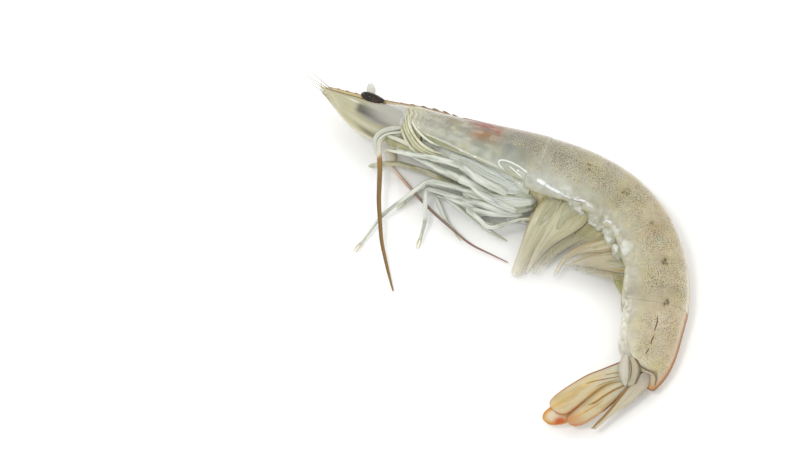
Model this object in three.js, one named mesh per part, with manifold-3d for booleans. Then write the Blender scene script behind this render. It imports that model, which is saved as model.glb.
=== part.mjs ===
// Whole raw shrimp with its head on, lying on its right side with the tail curled towards the belly.
// Millimetres, +Z up. The sagittal plane lies level; the left flank faces up.
// +X runs from the head towards the back of the curl, +Y towards the back of the carapace.
// Every plate, limb and blade is its own closed solid, 0.3 mm clear of its neighbours.
import * as THREE from "three";
import { mergeVertices } from "three/addons/utils/BufferGeometryUtils.js";
import Module from "manifold-3d";

const wasm = await Module();
wasm.setup();

// ---------------------------------------------------------------- driving dimensions
const GAP = 0.3; // clearance between neighbouring pieces
const SIDES = 26; // vertices round a body section

const CARAPACE_LENGTH = 38;
const RING_LENGTH = [12.5, 10.6, 10.0, 11.0, 10.6, 18.2];
const START = [2.0, 30.6]; // middle of the carapace's front edge

// Body stations: distance behind the carapace's front edge, heading of the body axis,
// height of the back above the axis, depth of the belly below it, half width,
// height of the axis above the surface. Flanks that would dip below the surface are pressed flat on it.
const R = RING_LENGTH.reduce((a, l) => [...a, a[a.length - 1] + l], [CARAPACE_LENGTH]);
const STATIONS = [
  [-8, -27, 2.6, 2.8, 2.8, 7.6],
  [0, -26, 5.4, 5.2, 4.6, 7.5],
  [9, -25, 6.3, 6.6, 6.4, 7.4],
  [22, -21, 8.3, 9.8, 7.7, 7.3],
  [R[0], -18, 9.5, 10.3, 7.9, 7.5],
  [R[1], -27, 9.4, 9.6, 7.8, 7.4],
  [R[2], -43, 9.1, 9.4, 7.6, 7.2],
  [R[3], -62, 8.6, 9.3, 7.3, 6.9],
  [R[4], -82, 8.0, 9.6, 6.8, 6.4],
  [R[5], -97, 7.5, 10.0, 6.3, 5.9],
  [R[5] + 7, -104, 6.8, 9.8, 5.9, 5.5],
  [R[5] + 12.5, -112, 6.7, 8.9, 5.2, 5.0],
  [R[6], -136, 6.6, 5.4, 4.3, 4.2],
];

// Lower edge of the gill cover below the axis, at the front, middle and rear of the carapace.
const GILL_EDGE = [[-8, 2.0], [0, 3.6], [10, 4.4], [22, 5.0], [R[0], 7.2]];

// Rostrum: a narrow blade that carries on the back's ridge, with teeth along its top.
const ROSTRUM = { root: 16, length: 38.5, turn: -4.4, height: 2.6, tip: 0.7, half: 0.8, teeth: 9, tooth: 0.95 };

// Eyes
const EYE = { s: -13.8, up: 1.3, side: 3.5, length: 6.4, height: 2.6, width: 3.0 };

// ---------------------------------------------------------------- curves
// Monotone cubic through a table's column.
function monotone(xs, ys) {
  const n = xs.length;
  const h = [], d = [], m = new Array(n);
  for (let i = 0; i < n - 1; i++) {
    h.push(xs[i + 1] - xs[i]);
    d.push((ys[i + 1] - ys[i]) / h[i]);
  }
  m[0] = d[0];
  m[n - 1] = d[n - 2];
  for (let i = 1; i < n - 1; i++) {
    if (d[i - 1] * d[i] <= 0) m[i] = 0;
    else {
      const w1 = 2 * h[i] + h[i - 1], w2 = h[i] + 2 * h[i - 1];
      m[i] = (w1 + w2) / (w1 / d[i - 1] + w2 / d[i]);
    }
  }
  return (x) => {
    if (x <= xs[0]) return ys[0] + m[0] * (x - xs[0]);
    if (x >= xs[n - 1]) return ys[n - 1] + m[n - 1] * (x - xs[n - 1]);
    let i = 0;
    while (x > xs[i + 1]) i++;
    const t = (x - xs[i]) / h[i], t2 = t * t, t3 = t2 * t;
    return (2 * t3 - 3 * t2 + 1) * ys[i] + (t3 - 2 * t2 + t) * h[i] * m[i] +
      (3 * t2 - 2 * t3) * ys[i + 1] + (t3 - t2) * h[i] * m[i + 1];
  };
}
const column = (k) => monotone(STATIONS.map((r) => r[0]), STATIONS.map((r) => r[k]));
const headingAt = column(1), backAt = column(2), bellyAt = column(3), halfAt = column(4), liftAt = column(5);
const gillAt = monotone(GILL_EDGE.map((r) => r[0]), GILL_EDGE.map((r) => r[1]));
const RAD = Math.PI / 180;

// The body axis: headings summed in short steps from the carapace's front edge.
const STEP = 0.25;
function walk(s) {
  let [x, y] = START;
  const dir = s < 0 ? -1 : 1;
  let done = 0;
  while (done < Math.abs(s) - 1e-9) {
    const ds = Math.min(STEP, Math.abs(s) - done);
    const a = headingAt(dir * (done + ds / 2)) * RAD;
    x += dir * ds * Math.cos(a);
    y += dir * ds * Math.sin(a);
    done += ds;
  }
  return [x, y];
}
// A point in body coordinates: s along the axis, up towards the back, side towards the left flank.
function body(s, up, side) {
  const [x, y] = walk(s), a = headingAt(s) * RAD;
  return new THREE.Vector3(x - up * Math.sin(a), y + up * Math.cos(a), Math.max(liftAt(s) + side, 0));
}

// ---------------------------------------------------------------- solids
// Joins rings of points, all of one count, into a closed surface. A ring of one point closes an end in a tip.
function loft(rings) {
  const pos = [], idx = [], start = [];
  for (const ring of rings) {
    start.push(pos.length / 3);
    for (const p of ring) pos.push(p.x, p.y, p.z);
  }
  const n = Math.max(...rings.map((r) => r.length));
  for (let k = 0; k < rings.length - 1; k++) {
    const a = start[k], b = start[k + 1], la = rings[k].length, lb = rings[k + 1].length;
    for (let i = 0; i < n; i++) {
      const j = (i + 1) % n;
      if (la > 1) idx.push(a + i, a + j, lb > 1 ? b + j : b);
      if (lb > 1) idx.push(la > 1 ? a + i : a, b + j, b + i);
    }
  }
  for (const [k, flip] of [[0, true], [rings.length - 1, false]]) {
    if (rings[k].length === 1) continue;
    const c = pos.length / 3, m = new THREE.Vector3();
    rings[k].forEach((p) => m.add(p));
    m.divideScalar(n);
    pos.push(m.x, m.y, m.z);
    for (let i = 0; i < n; i++) {
      const j = (i + 1) % n, o = start[k];
      idx.push(...(flip ? [o + j, o + i, c] : [o + i, o + j, c]));
    }
  }
  const g = new THREE.BufferGeometry();
  g.setAttribute("position", new THREE.Float32BufferAttribute(pos, 3));
  g.setIndex(idx);
  return outward(g);
}
// Turns a closed surface's faces out if they point in.
function outward(g) {
  const p = g.attributes.position, ix = g.index.array;
  const a = new THREE.Vector3(), b = new THREE.Vector3(), c = new THREE.Vector3();
  let v = 0;
  for (let i = 0; i < ix.length; i += 3) {
    a.fromBufferAttribute(p, ix[i]);
    b.fromBufferAttribute(p, ix[i + 1]);
    c.fromBufferAttribute(p, ix[i + 2]);
    v += a.dot(b.cross(c));
  }
  if (v < 0) for (let i = 0; i < ix.length; i += 3) [ix[i], ix[i + 1]] = [ix[i + 1], ix[i]];
  return g;
}
function solid(g) {
  const bare = new THREE.BufferGeometry();
  bare.setAttribute("position", g.attributes.position.clone());
  bare.setIndex(g.index.clone());
  const m = mergeVertices(bare, 1e-4);
  return new wasm.Manifold(new wasm.Mesh({
    numProp: 3,
    vertProperties: new Float32Array(m.attributes.position.array),
    triVerts: new Uint32Array(m.index.array),
  }));
}
function geometry(s) {
  const m = s.getMesh(), v = [];
  for (let i = 0; i < m.numVert; i++)
    v.push(...m.vertProperties.subarray(i * m.numProp, i * m.numProp + 3));
  const g = new THREE.BufferGeometry();
  g.setAttribute("position", new THREE.Float32BufferAttribute(v, 3));
  g.setIndex(Array.from(m.triVerts));
  return g;
}

// ---------------------------------------------------------------- body sections
const power = (v, p) => Math.sign(v) * Math.pow(Math.abs(v), p);

// Ring of the abdomen: round back with a slight ridge, full flanks, pleura that hang past a flat belly.
function ringSection(s, grow, keel, lobe) {
  const up = backAt(s) * grow, down = bellyAt(s) * grow, half = halfAt(s) * grow, out = [];
  for (let i = 0; i < SIDES; i++) {
    const f = (2 * Math.PI * i) / SIDES, c = Math.cos(f), n = Math.sin(f);
    let u = c >= 0 ? up * Math.pow(c, 0.94) : -down * Math.pow(-c, 0.62);
    let l = half * power(n, c >= 0 ? 0.86 : 0.62);
    const fromBack = Math.min(f, 2 * Math.PI - f), fromBelly = Math.PI - fromBack;
    if (fromBack < 1e-6) u += keel;
    if (fromBelly < 0.6) u += 1.5 * (1 - fromBelly / 0.6) + 0.3;
    else if (fromBelly < 1.0) u -= lobe;
    out.push(body(s, u, l));
  }
  return out;
}
// Carapace: back and gill cover down to its lower edge, then the narrower breast that carries the legs.
function carapaceSection(s) {
  const up = backAt(s), down = bellyAt(s), half = halfAt(s), edge = Math.min(gillAt(s), down * 0.82);
  const side = [];
  const cover = 9;
  for (let i = 0; i <= cover; i++) {
    const f = (i / cover) * 0.74 * Math.PI, c = Math.cos(f), n = Math.sin(f);
    const low = Math.abs(Math.cos(0.74 * Math.PI));
    side.push([c >= 0 ? up * Math.pow(c, 0.92) : -edge * Math.pow(-c / low, 0.9), half * Math.pow(n, 0.8)]);
  }
  const lip = side[cover][1];
  const step = Math.min(0.9, lip * 0.3);
  side.push([-edge + 0.1, lip - step]);
  side.push([-(edge + down) / 2, lip * 0.66]);
  side.push([-down * 0.97, lip * 0.36]);
  const out = [];
  for (const [u, l] of side) out.push(body(s, u, l));
  out.push(body(s, -down, 0));
  for (let i = side.length - 1; i > 0; i--) out.push(body(s, side[i][0], -side[i][1]));
  return out;
}
function carapace() {
  const rings = [];
  const stops = [-8, -5, -2, -0.6, 0, 3, 7, 11, 15, 19, 23, 27, 31, 34.5, CARAPACE_LENGTH - GAP];
  for (const s of stops) {
    const ring = carapaceSection(s);
    if (s < 0 && s > -8) { // the head proper is set back a little under the carapace's front edge
      const m = body(s, 0, 0);
      ring.forEach((p) => p.lerp(m, s < -1 ? 0.12 : 0.02));
    }
    rings.push(ring);
  }
  return rings;
}
// Rostrum blade with its saw of teeth, lofted from diamond sections along its own line.
function rostrum() {
  const { root, length, turn, height, tip, half, teeth, tooth } = ROSTRUM;
  const base = body(root, backAt(root) - 0.4, 0), a = (headingAt(root) + turn * -1) * RAD;
  const f = new THREE.Vector3(-Math.cos(a), -Math.sin(a), 0), up = new THREE.Vector3(-Math.sin(a), Math.cos(a), 0);
  const rings = [];
  const stops = [0];
  for (let k = 0; k < teeth; k++) {
    const t0 = 0.06 + (0.78 * k) / teeth, t1 = t0 + 0.55 / teeth, t2 = t0 + 0.7 / teeth;
    stops.push(t0, t1, t2);
  }
  stops.push(0.92, 0.995);
  for (const t of stops) {
    const d = t * length, shape = Math.sin(Math.min(1, t / 0.34) * Math.PI / 2);
    const h = Math.max(tip, height * shape * (1 - 0.78 * Math.max(0, (t - 0.3) / 0.7)));
    const k = (t - 0.06) / (0.78 / teeth), inTooth = k >= 0 && k < teeth ? (k % 1 > 0.5 && k % 1 < 0.6 ? 1 : 0) : 0;
    const top = 0.35 + inTooth * tooth * (1 - 0.45 * t), low = -h;
    const w = half * (1 - 0.72 * t);
    const at = (u, l) => base.clone().addScaledVector(f, d).addScaledVector(up, u).add(new THREE.Vector3(0, 0, l));
    rings.push([at(top, 0), at(0.05, w * 0.7), at(low * 0.55, w), at(low, 0), at(low * 0.55, -w), at(0.05, -w * 0.7)]);
  }
  rings.push([base.clone().addScaledVector(f, length).addScaledVector(up, -tip * 0.4)]);
  return loft(rings);
}
function ring(k) {
  const from = R[k], to = R[k + 1] - GAP, len = to - from, rings = [];
  const stops = k === 5 ? [0, 0.06, 0.2, 0.4, 0.6, 0.8, 0.94, 1] : [0, 0.08, 0.3, 0.55, 0.8, 0.95, 1];
  for (const t of stops) {
    const grow = 0.97 + 0.045 * Math.pow(t, 0.7) - (t === 0 ? 0.012 : 0) - (t === 1 ? 0.01 : 0);
    const set = k === 5 ? 0.965 : 1; // the last ring slips under the one before
    const keel = k < 3 ? 0.1 : 0.35 + 0.15 * (k - 3);
    const lobe = (k === 5 ? 0.3 : 1.1) * Math.pow(Math.sin(Math.PI * Math.min(1, Math.max(0, t))), 0.7);
    rings.push(ringSection(from + t * len, grow * set, keel, lobe));
  }
  return loft(rings);
}

// ---------------------------------------------------------------- limbs and blades
// A jointed limb: [length, heading, pitch, radius at its far end] for each article, from the hip outwards.
const FOLD = 70; // degrees of turn at a joint
function limb(hip, radius, articles, sides = 7, swell = 1.12, pointed = true) {
  const joints = [new THREE.Vector3(...hip)], radii = [radius];
  for (const [len, head, pitch, r] of articles) {
    const p = joints[joints.length - 1].clone();
    p.x += len * Math.cos(pitch * RAD) * Math.cos(head * RAD);
    p.y += len * Math.cos(pitch * RAD) * Math.sin(head * RAD);
    p.z += len * Math.sin(pitch * RAD);
    joints.push(p);
    radii.push(r);
  }
  // A joint folded tighter than FOLD starts a new run; the runs are joined into one solid, so a folded limb never passes through itself.
  const along = (i) => new THREE.Vector3().subVectors(joints[i + 1], joints[i]).normalize();
  const runs = [];
  let from = 0;
  for (let i = 1; i < joints.length; i++) {
    if (i < joints.length - 1 && along(i - 1).angleTo(along(i)) < FOLD * RAD) continue;
    runs.push([from, i]);
    from = i;
  }
  const pieces = runs.map(([first, last]) => {
    const path = [], rad = [];
    for (let i = first; i < last; i++) {
      const a = joints[i], b = joints[i + 1], ra = radii[i], rb = radii[i + 1], len = a.distanceTo(b);
      const near = Math.min(0.3, (1.1 * ra) / len), far = 1 - Math.min(0.3, (1.1 * rb) / len);
      if (i === first && i > 0) { path.push(a.clone().addScaledVector(along(i), -0.3 * ra)); rad.push(0.7 * ra); }
      if (i === first) { path.push(a.clone()); rad.push(ra); }
      path.push(a.clone().lerp(b, near)); rad.push(ra * (i === 0 ? 1 : 0.98));
      if (len > 7 && swell > 1) { path.push(a.clone().lerp(b, (near + far) / 2)); rad.push(((ra + rb) / 2) * 0.94); }
      if (i < last - 1 || last < joints.length - 1) { path.push(a.clone().lerp(b, far)); rad.push(rb * swell); }
    }
    path.push(joints[last]);
    rad.push(radii[last]);
    if (last < joints.length - 1) { path.push(joints[last].clone().addScaledVector(along(last - 1), 0.3 * radii[last])); rad.push(0.7 * radii[last]); }
    return tube(path, rad, sides, pointed && last === joints.length - 1);
  });
  return pieces.length === 1 ? pieces[0] : geometry(pieces.map(solid).reduce((all, one) => all.add(one)).simplify(0.07));
}
// A tapered tube along points, its frame carried along without twist; it ends in a tip if asked.
function tube(path, rad, sides, tip) {
  const rings = [];
  let n = new THREE.Vector3(0, 0, 1);
  for (let i = 0; i < path.length; i++) {
    const t = new THREE.Vector3().subVectors(path[Math.min(i + 1, path.length - 1)], path[Math.max(i - 1, 0)]).normalize();
    n.addScaledVector(t, -n.dot(t)).normalize();
    const b = new THREE.Vector3().crossVectors(t, n);
    if (tip && i === path.length - 1) { rings.push([path[i].clone().setZ(Math.max(path[i].z, 0.02))]); break; }
    const ringPts = [];
    for (let k = 0; k < sides; k++) {
      const f = (2 * Math.PI * k) / sides;
      const p = path[i].clone().addScaledVector(n, rad[i] * Math.cos(f)).addScaledVector(b, rad[i] * Math.sin(f));
      p.z = Math.max(p.z, 0);
      ringPts.push(p);
    }
    rings.push(ringPts);
  }
  return loft(rings);
}
// A blade: a lens section carried along a bent centre line, wide to the left and right of it.
function blade({ base, via, tip, left, right, thick, normal = [0, 0, 1], stops = 9, peak = 0.45, blunt = 0.6, crown = 0, root = 0.35 }) {
  const curve = new THREE.QuadraticBezierCurve3(new THREE.Vector3(...base), new THREE.Vector3(...via), new THREE.Vector3(...tip));
  const up = new THREE.Vector3(...normal).normalize(), rings = [];
  for (let i = 0; i <= stops; i++) {
    const t = i / stops, p = curve.getPoint(t), d = curve.getTangent(t);
    const n = up.clone().addScaledVector(d, -up.dot(d)).normalize(), sideways = new THREE.Vector3().crossVectors(n, d);
    if (i === stops) { rings.push([p.clone().setZ(Math.max(p.z, 0.05))]); break; }
    const w = t < peak
      ? root + (1 - root) * Math.sin((t / peak) * Math.PI / 2)
      : Math.pow(Math.max(0, 1 - Math.pow((t - peak) / (1 - peak), 2)), blunt);
    const h = (thick / 2) * (1 - 0.45 * t), L = left * w, Rr = right * w;
    const at = (x, z) => { const q = p.clone().addScaledVector(sideways, x).addScaledVector(n, z); q.z = Math.max(q.z, 0); return q; };
    rings.push([
      at(L, crown * -0.6), at(L * 0.62, h * 0.75), at(0, h + crown * 0.5), at(-Rr * 0.62, h * 0.75),
      at(-Rr, crown * -0.6), at(-Rr * 0.62, -h * 0.75), at(0, -h + crown * 0.5), at(L * 0.62, -h * 0.75),
    ]);
  }
  return loft(rings);
}
// An eye: a rounded cornea on a short stalk, both one body of revolution about the stalk's line.
function eye(side) {
  const { s, up, side: out, length, height, width } = EYE;
  const tip = body(s, up, side * out), root = body(s + length, up + 1.0, side * out * 0.72);
  const axis = new THREE.Vector3().subVectors(tip, root), len = axis.length();
  axis.normalize();
  const n = new THREE.Vector3(0, 0, 1).addScaledVector(axis, -axis.z).normalize();
  const b = new THREE.Vector3().crossVectors(axis, n), rings = [];
  const shape = [[0, 0.3], [0.1, 0.42], [0.26, 0.52], [0.4, 0.84], [0.55, 1.0], [0.72, 0.97], [0.86, 0.74], [0.96, 0.4]];
  for (const [t, r] of shape) {
    const pts = [];
    for (let k = 0; k < 10; k++) {
      const f = (2 * Math.PI * k) / 10;
      pts.push(root.clone().addScaledVector(axis, t * len).addScaledVector(n, (r * width / 2) * Math.cos(f)).addScaledVector(b, (r * height / 2) * Math.sin(f)));
    }
    rings.push(pts);
  }
  rings.push([tip]);
  return loft(rings);
}

// ---------------------------------------------------------------- limb tables
// hip point, radius there, then each article as [length, heading, pitch, radius at its far end]
const LIMBS = {
  maxilliped_left: [[24.4, 9.4, 12.7], 1.0, [[9.3, 143, 0, 0.85], [8.9, 160, -5, 0.7], [7.1, 165, -8, 0.55], [6.2, 162, -11, 0.2]]],
  maxilliped_right: [[24.5, 7.8, 4.0], 1.0, [[11.0, 147, 3, 0.85], [8.8, 154, 4, 0.7], [7.5, 161, 0, 0.6], [8.0, -177, -7, 0.35]]],
  leg_1_left: [[25.2, 6.2, 10.8], 0.95, [[8.6, 135, -1, 0.8], [10.1, 158, -1, 0.6], [8.1, 147, -6, 0.5], [7.0, 147, -7, 0.2]]],
  leg_1_right: [[26.2, 6.6, 3.4], 0.95, [[2.4, 164, -39, 0.85], [8.3, 151, -2, 0.7], [10.7, 159, 1, 0.55], [5.0, -138, -5, 0.42], [5.0, -138, -5, 0.2]]],
  leg_2_left: [[28.4, 5.8, 9.6], 1.0, [[2.3, -133, -20, 0.9], [10.7, 146, -2, 0.8], [10.3, 166, 4, 0.6], [15.6, -148, -21, 0.5], [12.2, -126, -11, 0.2]]],
  leg_2_right: [[28.9, 5.0, 4.4], 0.95, [[2.0, -141, -17, 0.85], [9.2, 154, -6, 0.7], [10.3, 157, 5, 0.55], [8.0, -67, -12, 0.45], [7.2, -52, -10, 0.2]]],
  leg_3_left: [[31.3, 4.0, 8.6], 1.0, [[3.3, -130, -19, 0.9], [14.1, 151, -4, 0.75], [10.2, 161, 3, 0.6], [9.4, -90, -16, 0.5], [7.6, -108, -25, 0.2]]],
  leg_3_right: [[31.6, 3.4, 4.0], 0.9, [[3.3, -130, -25, 0.8], [10.9, 153, -7, 0.6], [3.4, -32, 0, 0.45], [5.6, -7, -4, 0.2]]],
  leg_4_left: [[33.4, 2.9, 7.9], 1.0, [[3.7, -124, -39, 0.9], [12.9, 154, -3, 0.75], [9.1, 153, 3, 0.6], [14.5, -38, -10, 0.5], [6.3, -26, -15, 0.2]]],
  leg_4_right: [[33.5, 2.6, 3.55], 0.85, [[3.1, -117, -22, 0.7], [3.7, 177, -11, 0.5], [2.2, -34, -16, 0.4], [4.2, -3, -4, 0.18]]],
  leg_5_left: [[35.2, 2.6, 9.06], 0.95, [[3.9, -111, -6, 0.85], [16.7, 161, 1, 0.65], [8.8, -48, 7, 0.5], [15.8, 18, 12, 0.2]]],
  leg_5_right: [[35.8, 2.0, 4.4], 0.85, [[3.5, -93, -16, 0.7], [4.1, -162, -11, 0.5], [2.5, -24, -18, 0.4], [4.1, 14, 0, 0.18]]],
};
// Antennae: stout bent peduncle, then a short whip.
const ANTENNAE = {
  antenna_left: [[-2.8, 25.6, 9.6], 1.7, [[0.8, 125, 32, 1.4], [3.1, -124, 4, 0.7], [6.6, -86, -14, 0.5], [9.7, -92, -11, 0.45], [10.7, -86, -16, 0.38], [7.6, -77, -18, 0.32], [6.2, -76, -9, 0.15]]],
  antenna_right: [[-1.6, 24.4, 4.2], 1.5, [[3.2, -75, -14, 1.0], [1.7, -108, -13, 0.55], [7.8, -52, 1, 0.38], [6.4, -52, 0, 0.35], [5.7, -47, 0, 0.32], [5.4, -44, -2, 0.29], [5.2, -39, -13, 0.26], [11.0, -25, -7, 0.12]]],
};
// Antennules: three short articles side by side between the scales, each ending in a stub of its whips.
const ANTENNULES = {
  antennule_left: [[-6.8, 34.6, 9.2], 1.15, [[3.8, 152, 0, 1.0], [3.6, 153, -4, 0.7], [2.4, 154, -8, 0.3]]],
  antennule_right: [[-6.8, 34.4, 5.6], 1.1, [[3.8, 152, 1, 0.95], [3.6, 153, 5, 0.65], [2.4, 154, 6, 0.3]]],
};
// Stout basal articles of the tail fan, side by side under the last ring's rear edge.
const UROPOD_BASES = {
  uropod_base_left: [[59.1, -39.7, 6.0], 1.7, [[3.4, -152, 0, 1.45]]],
  uropod_base_right: [[59.9, -39.4, 2.2], 1.6, [[3.4, -147, 0, 1.4]]],
};
const SCALE_COLOUR = 0xb9b596;
const BLADES = {
  antennal_scale_left: { base: [-1.6, 31.2, 12.4], via: [-10.2, 33.8, 12.2], tip: [-20.8, 41.6, 8.8], left: 7.0, right: 2.2, thick: 0.9, crown: 0.5, normal: [0.1, -0.25, 1], stops: 10, peak: 0.22, blunt: 1.2, root: 0.55 },
  antennal_scale_right: { base: [-7.4, 31.9, 3.4], via: [-12.4, 34.0, 3.6], tip: [-20.4, 41.2, 6.6], left: 3.4, right: 2.0, thick: 0.9, crown: -0.5, normal: [0.1, 0.25, 1], stops: 10, peak: 0.22, blunt: 1.2, root: 0.85 },
  pleopod_1_left: { base: [45.4, 2.6, 10.4], via: [39.8, -4.5, 8.4], tip: [31.2, -13.9, 2.6], left: 2.0, right: 3.8, thick: 1.0, normal: [-0.3, 0.3, 1], root: 0.6 },
  pleopod_1_right: { base: [44.4, 2.2, 4.6], via: [39.4, -4.5, 3.2], tip: [32.0, -13.4, 1.0], left: 2.0, right: 3.6, thick: 0.9, normal: [-0.1, 0.1, 1], root: 0.6 },
  pleopod_2_left: { base: [51.4, -3.4, 10.2], via: [44.4, -6.9, 8.4], tip: [34.6, -13.2, 4.2], left: 2.8, right: 3.0, thick: 1.0, normal: [-0.3, 0.3, 1], root: 0.6 },
  pleopod_2_right: { base: [51.0, -3.6, 4.6], via: [44.8, -7.4, 3.2], tip: [36.4, -12.9, 1.2], left: 2.4, right: 2.8, thick: 0.9, normal: [-0.1, 0.1, 1], root: 0.6 },
  pleopod_3_left: { base: [56.2, -10.2, 9.8], via: [45.6, -8.0, 7.4], tip: [40.4, -14.0, 2.6], left: 1.8, right: 2.4, thick: 1.0, normal: [-0.2, 0, 1], root: 0.6 },
  pleopod_3_right: { base: [56.0, -9.8, 4.2], via: [46.8, -8.4, 2.8], tip: [42.2, -14.0, 1.0], left: 1.8, right: 2.4, thick: 0.9, root: 0.6 },
  pleopod_4_left: { base: [57.2, -12.6, 9.2], via: [52.0, -11.8, 8.0], tip: [45.8, -12.6, 5.2], left: 1.6, right: 1.6, thick: 0.9, root: 0.6 },
  pleopod_4_right: { base: [57.0, -13.2, 4.6], via: [52.0, -12.6, 3.8], tip: [47.0, -14.2, 2.1], left: 1.5, right: 1.6, thick: 0.9, root: 0.6 },
  pleopod_5_left: { base: [55.6, -13.8, 7.6], via: [54.4, -16.2, 6.8], tip: [57.4, -21.6, 5.2], left: 1.1, right: 1.3, thick: 0.9, root: 0.6 },
  pleopod_5_right: { base: [55.6, -14.2, 2.4], via: [54.4, -16.6, 2.4], tip: [57.2, -21.8, 2.2], left: 1.1, right: 1.3, thick: 0.9, root: 0.6 },
  uropod_outer_left: { base: [55.4, -41.4, 7.1], via: [46.2, -45.3, 8.3], tip: [38.8, -50.6, 5.4], left: 2.6, right: 2.6, thick: 0.9, crown: 0.3, stops: 10, peak: 0.5, blunt: 0.6, root: 0.4 },
  uropod_inner_left: { base: [56.0, -42.6, 5.5], via: [51.2, -47.5, 6.6], tip: [36.5, -53.1, 4.2], left: 3.0, right: 2.2, thick: 0.9, crown: 0.3, stops: 10, peak: 0.5, blunt: 0.6, root: 0.4 },
  uropod_inner_right: { base: [56.9, -42.4, 3.3], via: [53.2, -48.4, 3.6], tip: [41.2, -53.6, 2.4], left: 2.4, right: 2.6, thick: 0.9, crown: -0.2, stops: 10, peak: 0.5, blunt: 0.6, root: 0.4 },
  uropod_outer_right: { base: [57.3, -42.6, 1.8], via: [54.5, -48.6, 1.8], tip: [43.8, -53.6, 1.0], left: 2.2, right: 2.4, thick: 0.9, crown: -0.2, stops: 10, peak: 0.5, blunt: 0.6, root: 0.4 },
  ocular_lobe: { base: [-7.0, 40.1, 9.8], via: [-7.2, 40.6, 10.6], tip: [-7.4, 41.2, 11.8], left: 0.9, right: 0.9, thick: 0.8, normal: [0, -0.5, 1], stops: 5, peak: 0.5, blunt: 0.5, root: 0.7 },
};
// Telson: a long pointed wedge, widest where it meets the last ring.
const TELSON = { base: [62.9, -43.3, 4.6], via: [57.3, -47.9, 4.7], tip: [48.8, -56.2, 4.4], left: 1.9, right: 2.3, thick: 2.4, stops: 10, peak: 0.15, blunt: 1.0, root: 0.9 };

// ---------------------------------------------------------------- assembly
const model = new THREE.Group();
model.name = "shrimp";
function add(name, g, color, roughness = 0.3) {
  const mesh = new THREE.Mesh(g, new THREE.MeshStandardMaterial({ color, roughness, metalness: 0 }));
  mesh.name = name;
  model.add(mesh);
}
add("carapace", geometry(solid(loft(carapace())).add(solid(rostrum())).simplify(0.02)), 0xb4b09c);
for (let k = 0; k < 6; k++) add(`abdomen_${k + 1}`, ring(k), 0xb6ac8c);
add("telson", blade(TELSON), 0xbeb086);
add("eye_left", eye(1), 0x1d1714, 0.08);
add("eye_right", eye(-1), 0x1d1714, 0.08);
for (const [name, [hip, radius, articles]] of Object.entries(LIMBS)) add(name, limb(hip, radius, articles), 0xc6c8b6);
for (const [name, [hip, radius, articles]] of Object.entries(ANTENNAE)) add(name, limb(hip, radius, articles, 7, 1.0), 0xa5774a);
for (const [name, [hip, radius, articles]] of Object.entries(UROPOD_BASES)) add(name, limb(hip, radius, articles, 8, 1.0, false), 0xbeb490);
for (const [name, [hip, radius, articles]] of Object.entries(ANTENNULES)) add(name, limb(hip, radius, articles, 8, 1.0), 0xb9b08e);
for (const [name, b] of Object.entries(BLADES))
  add(name, blade(b), name.startsWith("uropod") ? 0xc6a468 : name.startsWith("pleopod") ? 0xb5ab7c : SCALE_COLOUR);

// The origin is the middle of the footprint, on the surface the flank rests on.
model.updateMatrixWorld(true);
const box = new THREE.Box3().setFromObject(model), mid = box.getCenter(new THREE.Vector3());
for (const mesh of model.children) mesh.geometry.translate(-mid.x, -mid.y, -box.min.z);
model.userData.footprintMiddle = [mid.x, mid.y];

export default model;
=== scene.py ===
import math

import bpy
import numpy as np
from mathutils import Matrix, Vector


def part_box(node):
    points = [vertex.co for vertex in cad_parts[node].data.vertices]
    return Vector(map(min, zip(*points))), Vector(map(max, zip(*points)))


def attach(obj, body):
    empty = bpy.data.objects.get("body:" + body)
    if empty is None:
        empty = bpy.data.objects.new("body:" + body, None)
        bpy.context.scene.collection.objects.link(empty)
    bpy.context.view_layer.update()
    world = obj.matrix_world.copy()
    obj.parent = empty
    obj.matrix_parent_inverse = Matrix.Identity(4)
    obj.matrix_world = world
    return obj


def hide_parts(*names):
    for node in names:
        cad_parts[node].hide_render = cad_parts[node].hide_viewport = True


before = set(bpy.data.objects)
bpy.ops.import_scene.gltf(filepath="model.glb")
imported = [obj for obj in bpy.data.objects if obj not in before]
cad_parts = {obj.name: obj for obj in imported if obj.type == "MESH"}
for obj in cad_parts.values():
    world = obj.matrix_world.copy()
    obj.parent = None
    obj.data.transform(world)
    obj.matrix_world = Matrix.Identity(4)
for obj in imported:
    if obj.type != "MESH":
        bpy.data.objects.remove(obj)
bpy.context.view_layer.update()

# ------------------------------------------------------------------ frame
# Everything below is worked out in millimetres in the drawing frame and moved into
# the row frame (origin at the middle of the footprint) when a mesh is made.
MM = 0.001
_lo, _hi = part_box("antennal_scale_left")  # its pointed end is at (-20.8, 41.6) in the drawing frame
MID = np.array([-20.8 - _lo[0] / MM, 41.6 - _hi[1] / MM, 0.0])
PALER = 0.80  # the lights are a little stronger than one, so every colour is taken down by this much
rng = np.random.default_rng(20931)


def smooth(a, b, x):
    t = np.clip((np.asarray(x, float) - a) / (b - a), 0, 1)
    return t * t * (3 - 2 * t)


def unit(v):
    v = np.asarray(v, float)
    return v / np.maximum(np.linalg.norm(v, axis=-1, keepdims=True), 1e-12)


def lin(r, g, b):
    c = np.array([r, g, b], float) / 255.0
    return np.where(c <= 0.04045, c / 12.92, ((c + 0.055) / 1.055) ** 2.4)


def mix(a, b, k):
    k = np.asarray(k, float)[..., None]
    return a * (1 - k) + b * k


_GRID = rng.random((48, 48, 48))


def vnoise(P, size, seed=0.0):
    """Smooth lattice noise from 0 to 1 over points in millimetres, with lumps of about the given size."""
    q = np.asarray(P, float) / size + seed * 7.31
    i = np.floor(q).astype(int)
    f = q - i
    f = f * f * (3 - 2 * f)
    out = 0.0
    for dx in (0, 1):
        for dy in (0, 1):
            for dz in (0, 1):
                w = ((f[..., 0] if dx else 1 - f[..., 0]) * (f[..., 1] if dy else 1 - f[..., 1]) * (f[..., 2] if dz else 1 - f[..., 2]))
                out = out + w * _GRID[(i[..., 0] + dx) % 48, (i[..., 1] + dy) % 48, (i[..., 2] + dz) % 48]
    return out


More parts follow.
